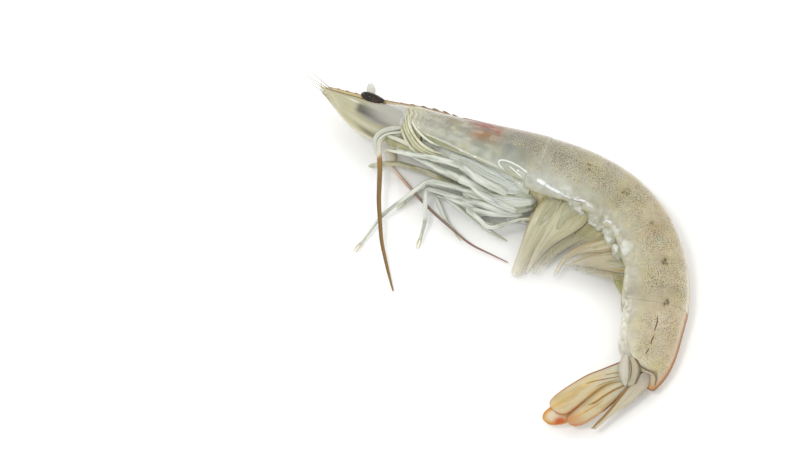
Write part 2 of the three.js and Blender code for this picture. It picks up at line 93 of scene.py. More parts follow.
# ------------------------------------------------------------------ body axis and sections
RING_LENGTH = [12.5, 10.6, 10.0, 11.0, 10.6, 18.2]
R = [38.0]
for _l in RING_LENGTH:
    R.append(R[-1] + _l)
# distance behind the carapace's front edge, heading, back, belly, half width, lift
STATIONS = np.array([
    (-8, -27, 2.6, 2.8, 2.8, 7.6), (0, -26, 5.4, 5.2, 4.6, 7.5), (9, -25, 6.3, 6.6, 6.4, 7.4),
    (22, -21, 8.3, 9.8, 7.7, 7.3), (R[0], -18, 9.5, 10.3, 7.9, 7.5), (R[1], -27, 9.4, 9.6, 7.8, 7.4),
    (R[2], -43, 9.1, 9.4, 7.6, 7.2), (R[3], -62, 8.6, 9.3, 7.3, 6.9), (R[4], -82, 8.0, 9.6, 6.8, 6.4),
    (R[5], -97, 7.5, 10.0, 6.3, 5.9), (R[5] + 7, -104, 6.8, 9.8, 5.9, 5.5),
    (R[5] + 12.5, -112, 6.7, 8.9, 5.2, 5.0), (R[6], -136, 6.6, 5.4, 4.3, 4.2)], float)


def monotone(xs, ys):
    xs, ys = np.asarray(xs, float), np.asarray(ys, float)
    n, h = len(xs), np.diff(xs)
    d = np.diff(ys) / h
    m = np.zeros(n)
    m[0], m[-1] = d[0], d[-1]
    for i in range(1, n - 1):
        if d[i - 1] * d[i] > 0:
            w1, w2 = 2 * h[i] + h[i - 1], h[i] + 2 * h[i - 1]
            m[i] = (w1 + w2) / (w1 / d[i - 1] + w2 / d[i])

    def f(x):
        x = np.asarray(x, float)
        i = np.clip(np.searchsorted(xs, x, side="right") - 1, 0, n - 2)
        t = (x - xs[i]) / h[i]
        y = ((2 * t ** 3 - 3 * t ** 2 + 1) * ys[i] + (t ** 3 - 2 * t ** 2 + t) * h[i] * m[i]
             + (3 * t ** 2 - 2 * t ** 3) * ys[i + 1] + (t ** 3 - t ** 2) * h[i] * m[i + 1])
        y = np.where(x < xs[0], ys[0] + m[0] * (x - xs[0]), y)
        return np.where(x > xs[-1], ys[-1] + m[-1] * (x - xs[-1]), y)
    return f


heading, back, belly, half, lift = [monotone(STATIONS[:, 0], STATIONS[:, k]) for k in range(1, 6)]
gill = monotone([-8, 0, 10, 22, R[0]], [2.0, 3.6, 4.4, 5.0, 7.2])
_S = np.arange(-20, R[6] + 8, 0.05)
_A = np.radians(heading((_S[:-1] + _S[1:]) / 2))
_X = np.concatenate([[0], np.cumsum(0.05 * np.cos(_A))])
_Y = np.concatenate([[0], np.cumsum(0.05 * np.sin(_A))])
_i = int(np.argmin(abs(_S)))
_X += 2.0 - _X[_i]
_Y += 30.6 - _Y[_i]


def body(s, up, side):
    s, up, side = np.broadcast_arrays(np.asarray(s, float), up, side)
    a = np.radians(heading(s))
    x, y = np.interp(s, _S, _X), np.interp(s, _S, _Y)
    z = lift(s) + side
    # flanks pressed flat on the surface, with a small soft round at the edge of the flat
    z = np.where(z < 0.35, 0.35 * np.exp((np.minimum(z, 0.35) - 0.35) / 0.5), z)
    return np.stack([x - up * np.sin(a), y + up * np.cos(a), z], -1)


# ------------------------------------------------------------------ mesh building
class Bag:
    """Closed surfaces gathered into one mesh, with a colour, a dot density and a see-through share per vertex."""

    def __init__(self):
        self.V, self.Q, self.T, self.C, self.D, self.A, self.K, self.W = [], [], [], [], [], [], [], []
        self.n = 0

    def put(self, V, quads, tris, C, D=0.0, A=1.0, K=None, W=0.3):
        V = np.array(V, float).reshape(-1, 3)
        V[:, 2] = np.maximum(V[:, 2], 0.02)  # nothing dips under the surface it rests on
        n = len(V)
        quads = np.asarray(quads, int).reshape(-1, 4)
        tris = np.asarray(tris, int).reshape(-1, 3)
        # faces out: signed volume of the closed surface
        t = np.concatenate([tris, quads[:, [0, 1, 2]], quads[:, [0, 2, 3]]])
        p = V - V.mean(0)
        if np.einsum("ij,ij->i", p[t[:, 0]], np.cross(p[t[:, 1]], p[t[:, 2]])).sum() < 0:
            quads, tris = quads[:, ::-1], tris[:, ::-1]
        self.V.append(V)
        self.Q.append(quads + self.n)
        self.T.append(tris + self.n)
        self.C.append(np.broadcast_to(np.asarray(C, float), (n, 3)))
        self.D.append(np.broadcast_to(np.asarray(D, float), (n,)))
        self.A.append(np.broadcast_to(np.asarray(A, float), (n,)))
        self.W.append(np.broadcast_to(np.asarray(W, float), (n,)))
        self.K.append(V.copy() if K is None else np.asarray(K, float).reshape(n, 3))
        self.n += n

    def make(self, name, mat, slot, nodes=()):
        V = (np.concatenate(self.V) - MID) * MM
        Q, T = np.concatenate(self.Q), np.concatenate(self.T)
        me = bpy.data.meshes.new(name)
        me.from_pydata(V.tolist(), [], Q.tolist() + T.tolist())
        me.polygons.foreach_set("use_smooth", np.ones(len(me.polygons), bool))
        C, D, A = np.concatenate(self.C), np.concatenate(self.D), np.concatenate(self.A)
        col = me.color_attributes.new(name="Col", type="FLOAT_COLOR", domain="POINT")
        col.data.foreach_set("color", np.concatenate([np.clip(C * PALER, 0, 1), np.ones((len(C), 1))], 1).astype(np.float32).ravel())
        me.attributes.new("dots", "FLOAT", "POINT").data.foreach_set("value", D.astype(np.float32))
        me.attributes.new("see", "FLOAT", "POINT").data.foreach_set("value", A.astype(np.float32))
        me.attributes.new("wet", "FLOAT", "POINT").data.foreach_set("value", np.concatenate(self.W).astype(np.float32))
        me.attributes.new("skin", "FLOAT_VECTOR", "POINT").data.foreach_set("vector", np.concatenate(self.K).astype(np.float32).ravel())
        me.update()
        ob = bpy.data.objects.new(name, me)
        bpy.context.scene.collection.objects.link(ob)
        me.materials.append(mat)
        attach(ob, "root")
        if nodes:
            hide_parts(*nodes)
        return ob


def loft(rows):
    """Quads and end fans for rings of points, rows[n, m, 3], closed around."""
    rows = np.asarray(rows, float)
    n, m = rows.shape[:2]
    i, j = np.meshgrid(np.arange(n - 1), np.arange(m), indexing="ij")
    k = (j + 1) % m
    quads = np.stack([i * m + j, i * m + k, (i + 1) * m + k, (i + 1) * m + j], -1).reshape(-1, 4)
    V = np.concatenate([rows.reshape(-1, 3), rows[0].mean(0)[None], rows[-1].mean(0)[None]])
    j = np.arange(m)
    k = (j + 1) % m
    tris = np.concatenate([np.stack([k, j, np.full(m, n * m)], -1),
                           np.stack([(n - 1) * m + j, (n - 1) * m + k, np.full(m, n * m + 1)], -1)])
    return V, quads, tris


def ends(values):
    """Per-vertex values of a loft's rings, carried to its two end points."""
    values = np.asarray(values, float)
    flat = values.reshape((-1,) + values.shape[2:])
    return np.concatenate([flat, values[0].mean(0)[None], values[-1].mean(0)[None]])


def rounded(points, r, steps=6):
    """A polyline with its corners rounded over a distance r either side."""
    P = [np.asarray(p, float) for p in points]
    out = [P[0]]
    for a, b, c in zip(P[:-2], P[1:-1], P[2:]):
        ra = min(r, 0.45 * np.linalg.norm(b - a))
        rc = min(r, 0.45 * np.linalg.norm(c - b))
        p, q = b + unit(a - b) * ra, b + unit(c - b) * rc
        for t in np.linspace(0, 1, steps):
            out.append((1 - t) ** 2 * p + 2 * t * (1 - t) * b + t * t * q)
    out.append(P[-1])
    return np.array(out)


def arc(P):
    return np.concatenate([[0], np.cumsum(np.linalg.norm(np.diff(P, axis=0), axis=1))])


def resample(P, n):
    d = arc(P)
    t = np.linspace(0, d[-1], n)
    return np.stack([np.interp(t, d, P[:, k]) for k in range(3)], -1)


def tube_rows(P, rad, sides=12, flat=1.0, up=(0, 0, 1), floor=0.02):
    P = np.asarray(P, float)
    n = len(P)
    rad = np.broadcast_to(rad, (n,))
    T = unit(np.gradient(P, axis=0))
    N = np.zeros_like(P)
    v = np.asarray(up, float)
    for i in range(n):
        v = unit(v - T[i] * (v @ T[i]))
        N[i] = v
    B = np.cross(T, N)
    f = np.linspace(0, 2 * math.pi, sides, endpoint=False)
    rows = (P[:, None] + (rad * flat)[:, None, None] * np.cos(f)[None, :, None] * N[:, None]
            + rad[:, None, None] * np.sin(f)[None, :, None] * B[:, None])
    rows[..., 2] = np.maximum(rows[..., 2], floor)
    return rows, f


# ------------------------------------------------------------------ materials
def material(name, rough=0.3, sss=0.5, scale=1.5, radius=(1.0, 0.72, 0.42), coat=0.5, coat_rough=0.06,
             dots=0.0, dot_colour=(0.072, 0.038, 0.006), mottle=0.10, grain=900.0, bump=0.35, coat_bump=0.6,
             alpha=False, ior=1.45, coat_ior=1.45, spec=0.5):
    m = bpy.data.materials.new(name)
    m.use_nodes = True
    nt = m.node_tree
    nodes, link = nt.nodes, nt.links.new
    bsdf = nodes["Principled BSDF"]
    bsdf.inputs["Roughness"].default_value = rough
    bsdf.inputs["IOR"].default_value = ior
    bsdf.inputs["Specular IOR Level"].default_value = spec
    bsdf.inputs["Subsurface Weight"].default_value = sss
    bsdf.inputs["Subsurface Radius"].default_value = radius
    bsdf.inputs["Subsurface Scale"].default_value = scale * MM
    bsdf.inputs["Coat Weight"].default_value = coat
    bsdf.inputs["Coat Roughness"].default_value = coat_rough
    bsdf.inputs["Coat IOR"].default_value = coat_ior
    tc = nodes.new("ShaderNodeTexCoord")

    def noise(sc, detail=4.0, rough_=0.55, dist=0.0):
        n = nodes.new("ShaderNodeTexNoise")
        n.inputs["Scale"].default_value = sc
        n.inputs["Detail"].default_value = detail
        n.inputs["Roughness"].default_value = rough_
        n.inputs["Distortion"].default_value = dist
        link(tc.outputs["Object"], n.inputs["Vector"])
        return n.outputs["Fac"]

    def calc(op, a, b=None, c=None, clamp=False):
        n = nodes.new("ShaderNodeMath")
        n.operation = op
        n.use_clamp = clamp
        for k, v in enumerate((a, b, c)):
            if v is None:
                continue
            if isinstance(v, (int, float)):
                n.inputs[k].default_value = v
            else:
                link(v, n.inputs[k])
        return n.outputs[0]

    def mixc(fac, a, b, mode="MIX"):
        n = nodes.new("ShaderNodeMix")
        n.data_type = "RGBA"
        n.blend_type = mode
        for sock, v in ((n.inputs["Factor"], fac), (n.inputs[6], a), (n.inputs[7], b)):
            if isinstance(v, tuple):
                sock.default_value = (*v, 1.0) if len(v) == 3 else v
            elif isinstance(v, (int, float)):
                sock.default_value = v
            else:
                link(v, sock)
        return n.outputs[2]

    def attribute(key):
        n = nodes.new("ShaderNodeAttribute")
        n.attribute_name = key
        return n

    colour = attribute("Col").outputs["Color"]
    # soft cloudy variation of the flesh under the shell
    k = calc("ADD", calc("MULTIPLY", calc("SUBTRACT", noise(130.0, 3.0), 0.5), mottle * 2.2),
             calc("MULTIPLY", calc("SUBTRACT", noise(grain, 3.0, 0.6), 0.5), mottle * 1.3))
    grey = nodes.new("ShaderNodeCombineColor")
    one = calc("ADD", k, 1.0)
    for s in range(3):
        link(one, grey.inputs[s])
    colour = mixc(1.0, colour, grey.outputs[0], "MULTIPLY")
    if dots:
        # pigment cells: round specks of uneven size, laid out over the skin itself
        dens = attribute("dots").outputs["Fac"]
        skin = attribute("skin").outputs["Vector"]
        total = None
        for sc, r0, r1, amt in ((1.9, 0.15, 0.37, dots), (2.7, 0.12, 0.34, dots * 0.85)):
            vo = nodes.new("ShaderNodeTexVoronoi")
            vo.voronoi_dimensions = "2D"
            vo.inputs["Scale"].default_value = sc
            vo.inputs["Randomness"].default_value = 0.95
            link(skin, vo.inputs["Vector"])
            sep = nodes.new("ShaderNodeSeparateColor")
            link(vo.outputs["Color"], sep.inputs[0])
            rad = calc("MULTIPLY", dens, calc("ADD", calc("MULTIPLY", sep.outputs[0], r1 - r0), r0))
            edge = calc("MULTIPLY", calc("SUBTRACT", rad, vo.outputs["Distance"]), 8.0, clamp=True)
            part = calc("MULTIPLY", edge, amt)
            total = part if total is None else calc("MAXIMUM", total, part)
        colour = mixc(total, colour, dot_colour)
    link(colour, bsdf.inputs["Base Color"])
    # height: pores under the wet film, and the film's own swells
    bn = nodes.new("ShaderNodeBump")
    bn.inputs["Strength"].default_value = bump
    bn.inputs["Distance"].default_value = 0.12 * MM
    link(noise(700.0, 4.0, 0.6), bn.inputs["Height"])
    link(bn.outputs["Normal"], bsdf.inputs["Normal"])
    cb = nodes.new("ShaderNodeBump")
    cb.inputs["Distance"].default_value = 0.5 * MM
    h = calc("ADD", noise(240.0, 3.0, 0.5, 0.6), calc("MULTIPLY", noise(900.0, 2.0), 0.10))
    link(calc("MULTIPLY", attribute("wet").outputs["Fac"], coat_bump, clamp=True), cb.inputs["Strength"])
    link(h, cb.inputs["Height"])
    link(cb.outputs["Normal"], bsdf.inputs["Coat Normal"])
    if alpha:
        link(attribute("see").outputs["Fac"], bsdf.inputs["Alpha"])
    return m


SHELL = material("shell", rough=0.36, sss=0.5, scale=0.75, radius=(1.0, 0.86, 0.68), coat=1.0, coat_rough=0.05, dots=0.76, mottle=0.13, coat_bump=0.8)
FIN = material("fin", rough=0.34, sss=0.3, scale=0.5, radius=(1.0, 0.9, 0.75), coat=0.35, mottle=0.12, coat_bump=0.5, alpha=True)
SCALE = material("scale_skin", rough=0.34, sss=0.35, scale=0.5, radius=(1.0, 0.92, 0.8), coat=0.4, mottle=0.08, coat_bump=0.4, alpha=True)
LIMB = material("limb", rough=0.30, sss=0.5, scale=0.6, radius=(1.0, 0.9, 0.7), coat=0.8, mottle=0.08, coat_bump=0.6, alpha=True)
FEELER = material("feeler", rough=0.35, sss=0.25, scale=0.4, coat=0.4, mottle=0.12, coat_bump=0.3)
SWIM = material("swimmeret", rough=0.38, sss=0.3, scale=0.5, radius=(1.0, 0.92, 0.8), coat=0.35, mottle=0.12, coat_bump=0.6, alpha=True)
EYE_M = material("eye_cornea", rough=0.20, sss=0.0, coat=0.45, coat_rough=0.03, spec=0.25, mottle=0.25, bump=0.03, coat_bump=0.1, grain=2500.0)

# ------------------------------------------------------------------ colours of the body
KEYS = [-8, 0, 4, 12, 21, 30, 42, 56, 67, 77, 88, 101, 111]
BANDS = {  # at an angle from the back: sRGB along the body
    0.30: [(196, 188, 160), (192, 184, 164), (190, 184, 164), (182, 174, 156), (176, 164, 152), (182, 168, 156), (182, 172, 146), (186, 172, 144),
           (188, 172, 140), (196, 180, 144), (206, 194, 164), (204, 184, 148), (202, 184, 152)],
    1.40: [(200, 198, 186), (196, 196, 184), (188, 188, 172), (154, 153, 134), (151, 146, 130), (151, 150, 137), (176, 172, 148), (180, 173, 147),
           (186, 174, 146), (191, 178, 146), (194, 182, 152), (196, 180, 150), (192, 182, 154)],
    2.10: [(200, 199, 184), (198, 198, 182), (192, 193, 176), (180, 182, 166), (178, 181, 166), (176, 181, 168), (200, 201, 188), (192, 190, 170),
           (186, 180, 154), (182, 175, 148), (188, 182, 160), (200, 194, 172), (206, 200, 180)],
    2.80: [(198, 196, 180), (196, 196, 180), (192, 194, 178), (190, 193, 180), (196, 199, 186), (198, 201, 190), (186, 182, 150), (182, 176, 140),
           (186, 180, 146), (188, 182, 152), (200, 196, 174), (216, 212, 196), (214, 208, 190)],
}
BAND_F = sorted(BANDS)
BAND_T = {f: np.array([lin(*c) for c in BANDS[f]]) for f in BAND_F}


def blob(s, f, s0, f0, rs, rf):
    return np.exp(-(((s - s0) / rs) ** 2 + ((f - f0) / rf) ** 2))


def body_colour(s, f, P):
    """Colour of the body's skin at a distance along it and an angle from the back, with cloudy patches over it."""
    s, f = np.broadcast_arrays(np.asarray(s, float), np.asarray(f, float))
    rows = [np.stack([np.interp(s, KEYS, BAND_T[b][:, k]) for k in range(3)], -1) for b in BAND_F]
    c = rows[0]
    for a, b, r in zip(BAND_F[:-1], BAND_F[1:], rows[1:]):
        c = mix(c, r, smooth(a, b, f))
    n1, n2, n3 = vnoise(P, 4.2), vnoise(P, 1.5, 1.0), vnoise(P, 2.4, 2.0)
    c = mix(c, lin(210, 212, 200), 0.26 * smooth(0.52, 0.80, n1) * smooth(0.7, 1.5, f))
    c = mix(c, lin(196, 186, 138), 0.30 * smooth(0.55, 0.82, n3))
    c = mix(c, lin(140, 134, 108), 0.26 * smooth(0.56, 0.85, 1 - n1))
    # yellow-olive and pale green tints over the tail's muscle, less blue in it than in the head
    n4 = vnoise(P, 3.1, 7.0)
    c = mix(c, lin(186, 178, 128), 0.34 * smooth(40, 50, s) * smooth(0.50, 0.78, n4) * (1 - smooth(1.8, 2.1, f)))
    c = mix(c, lin(176, 184, 158), 0.34 * smooth(40, 50, s) * (1 - smooth(84, 92, s)) * smooth(0.52, 0.80, 1 - n4) * smooth(0.9, 1.3, f) * (1 - smooth(2.0, 2.3, f)))
    c = c * (1 - smooth(42, 52, s)[..., None] * (1 - smooth(1.8, 2.1, f))[..., None] * np.array([-0.075, -0.065, -0.01]))
    return c * (1 + 0.20 * (n2 - 0.5) + 0.10 * (vnoise(P, 0.55, 8.0) - 0.5))[..., None]


def organs(c, s, f, P):
    """What shows through the carapace: the red and orange gland, grey gut, brown and olive tints, rosy back."""
    n = 0.80 + 0.7 * (vnoise(P, 1.1, 3.0) - 0.5)
    c = mix(c, lin(168, 128, 118), 0.62 * smooth(15, 21, s) * (1 - smooth(28, 38, s)) * (1 - smooth(0.55, 0.84, f)))
    c = mix(c, lin(162, 64, 44), np.clip(n * 1.55 * blob(s, f, 21.8, 0.94, 3.3, 0.24), 0, 0.95))
    c = mix(c, lin(172, 104, 84), n * 0.60 * blob(s, f, 18.8, 0.88, 2.0, 0.15))
    c = mix(c, lin(166, 92, 76), n * 0.95 * blob(s, f, 25.3, 1.12, 1.1, 0.26))
    c = mix(c, lin(166, 112, 54), n * 1.15 * blob(s, f, 22.0, 1.42, 3.2, 0.17))
    c = mix(c, lin(164, 104, 80), n * 0.55 * blob(s, f, 26.0, 0.82, 2.4, 0.14))
    c = mix(c, lin(112, 114, 110), n * 0.75 * blob(s, f, 22.6, 1.10, 1.1, 0.08))
    c = mix(c, lin(128, 134, 132), n * 0.60 * blob(s, f, 16.4, 1.36, 2.8, 0.12))
    c = mix(c, lin(156, 142, 96), n * 0.70 * blob(s, f, 11.8, 1.10, 2.8, 0.13))
    c = mix(c, lin(118, 124, 122), n * 0.70 * blob(s, f, 29.6, 1.62, 1.5, 0.20))
    c = mix(c, lin(132, 136, 134), n * 0.50 * blob(s, f, 24.5, 1.82, 4.0, 0.20))
    c = mix(c, lin(136, 142, 134), n * 0.45 * blob(s, f, 33.0, 1.78, 3.0, 0.30))
    c = mix(c, lin(140, 142, 122), n * 0.50 * blob(s, f, 11.5, 2.02, 3.2, 0.10))
    c = mix(c, lin(112, 112, 92), n * 0.55 * blob(s, f, 14.6, 2.27, 2.2, 0.05))
    c = mix(c, lin(232, 214, 206), 0.70 * blob(s, f, 10.5, 0.62, 7.5, 0.055))
    c = mix(c, lin(112, 72, 58), 0.85 * blob(s, f, 17.5, 0.66, 3.6, 0.030) + 0.45 * blob(s, f, 23.5, 0.74, 3.5, 0.030))
    return c * (1 - np.stack([0 * s, 0 * s, 0.06 * smooth(14, 24, s)], -1))


def marks(c, s, f, P):
    """Olive-brown flecks at the rear edges of the rings."""
    n = vnoise(P, 0.55, 4.0)
    for s0, f0, k in ((51.2, 1.38, 0.7), (61.9, 1.43, 0.7), (72.6, 1.40, 0.45), (82.9, 1.38, 1.0), (93.8, 1.38, 1.05)):
        c = mix(c, lin(160, 142, 66), 0.50 * k * blob(s, f, s0 + 0.2, f0 + 0.02, 1.3, 0.13))
        g = np.random.default_rng(int(s0 * 10))
        for _ in range(9):
            ds, df, w = g.normal(0, 0.50), g.normal(0, 0.070), g.uniform(0.16, 0.42)
            c = mix(c, lin(84, 68, 0), np.clip(k * 1.1 * blob(s, f, s0 + ds, f0 + df, w, w * 0.085) * (0.5 + 1.0 * n), 0, 0.95))
    # brown band of pigment on the third ring, tan patches on its back
    c = mix(c, lin(158, 118, 84), 0.38 * blob(s, f, 74.6, 1.36, 1.9, 0.28) * (0.5 + n))
    c = mix(c, lin(196, 158, 92), 0.45 * blob(s, f, 70.5, 0.35, 2.4, 0.35))
    c = mix(c, lin(196, 160, 96), 0.25 * blob(s, f, 60.0, 0.35, 2.2, 0.35))
    return c


def dot_density(s, f, P):
    t = np.zeros_like(s)
    for a, b in zip(R[:-1], R[1:]):
        t = np.where((s >= a) & (s < b), (s - a) / (b - a), t)
    ringy = np.where(s > R[0], 0.74 + 0.30 * np.sin(np.pi * np.clip(t * 1.05, 0, 1)) ** 0.8, 1.0)
    down = 1 - 0.92 * smooth(1.72, 2.02, f)
    edge = 0.62 + 0.42 * smooth(0.12, 0.5, f)
    cara = np.where(s < R[0], 0.26 + 0.80 * smooth(24, 31, s) * (1 - smooth(1.45, 1.8, f)) + 0.55 * blob(s, f, 9.0, 1.15, 7.0, 0.40), 1.0)
    last = np.where(s > R[5], 0.86, 1.0)
    return np.clip(ringy * down * edge * cara * last * (0.66 + 0.56 * vnoise(P, 3.4, 5.0)), 0, 1.15)


def skin_of(rows, dist):
    """Flat coordinates over a lofted surface: along the body, and round the section."""
    step = np.linalg.norm(np.diff(rows, axis=1, prepend=rows[:, :1]), axis=-1)
    across = np.cumsum(step, axis=1)
    across = across - across[:, :1]
    # measured on a middle section, so that the specks don't slide from one section to the next
    mid = across[len(across) // 2]
    return np.stack([dist, np.broadcast_to(mid, dist.shape), np.zeros_like(dist)], -1)


# ------------------------------------------------------------------ the abdomen's six rings
NF = 112  # vertices over one side's outer skin
LOW = math.pi - 0.70


def flank(s, f, grow=1.0):
    """Height above the axis and reach to the side of an abdominal ring's skin."""
    up, dn, hf = back(s) * grow, belly(s) * grow, half(s) * grow
    c, n = np.cos(f), np.sin(f)
    u = np.where(c >= 0, up * np.abs(c) ** 0.94, -dn * np.abs(c) ** 0.62)
    l = hf * np.where(c >= 0, np.abs(n) ** 0.86, np.abs(n) ** 0.62)
    return u, l


def ridge_at(s):
    """Angle of the wet fold that runs low along the flank."""
    return np.interp(s, [30, 38.8, 41.7, 45.0, 50.4, 55.0, 61.0, 67.7, 76.0], [2.02, 2.04, 2.17, 2.28, 2.30, 2.22, 2.20, 2.28, 2.30])


def ring_section(s_of_f, grow, lobe, keel):
    """One closed section whose distance along the body varies with the angle; returns points, angles, distances."""
    f = np.linspace(0, 1, NF) ** 0.96 * LOW
    s = s_of_f(f)
    u, l = flank(s, f, grow)
    u = u + keel * np.exp(-(f / 0.075) ** 2)
    u = u - lobe * smooth(1.9, LOW, f)
    # wet, slightly crumpled lower flank with a soft ridge along its top
    w = smooth(1.9, 2.15, f)
    l = l + w * 0.07 * np.sin(s * 1.35 + 2.3 * f) * np.cos(0.55 * s + 5.0 * f) + w * 0.05 * np.sin(s * 2.3 - 6.0 * f)
    l = l + 0.30 * np.exp(-((f - ridge_at(s)) / 0.085) ** 2) * (1 - smooth(66, 80, s))
    ue, le, se = u[-1], l[-1], s[-1]
    th = 0.30
    eu, el, ef = [], [], []
    for a in np.linspace(0.25, 1.0, 4) * math.pi:
        eu.append(ue - math.sin(a) * th * 0.6)
        el.append(le - th * (1 - math.cos(a)))
        ef.append(LOW + 0.02)
    for k, (du, dl) in enumerate(((0.30, 0.15), (0.48, 0.40), (0.45, 0.8))):
        eu.append(ue + du)
        el.append(le - 2 * th - dl)
        ef.append(LOW + 0.1 + 0.05 * k)
    l0, u0 = el[-1], eu[-1]
    for k in range(1, 12):
        q = k / 11
        el.append(max(l0 * (1 - q), 0.0))
        eu.append(u0 - 0.75 * math.sin(q * math.pi / 2))
        ef.append(LOW + 0.25 + (math.pi - LOW - 0.25) * q)
    U, L = np.concatenate([u, eu]), np.concatenate([l, el])
    Fa, S = np.concatenate([f, ef]), np.concatenate([s, np.full(len(eu), se)])
    P, Q = body(S, U, L), body(S, U, -L)
    return (np.concatenate([P, Q[1:-1][::-1]]), np.concatenate([Fa, Fa[1:-1][::-1]]), np.concatenate([S, S[1:-1][::-1]]))


def streak(b, path, r, colour, sides=8, flat=0.45, see=1.0, W=0.2):
    """A thin raised line along points."""
    P = resample(np.asarray(path, float), max(8, int(arc(np.asarray(path))[-1] / 0.18)))
    x = np.linspace(0, 1, len(P))
    rad = r * np.clip(np.minimum(x, 1 - x) / 0.15, 0.12, 1) ** 0.6
    rows, _ = tube_rows(P, rad, sides, flat)
    V, q, t = loft(rows)
    b.put(V, q, t, colour, 0.0, see, W=W)


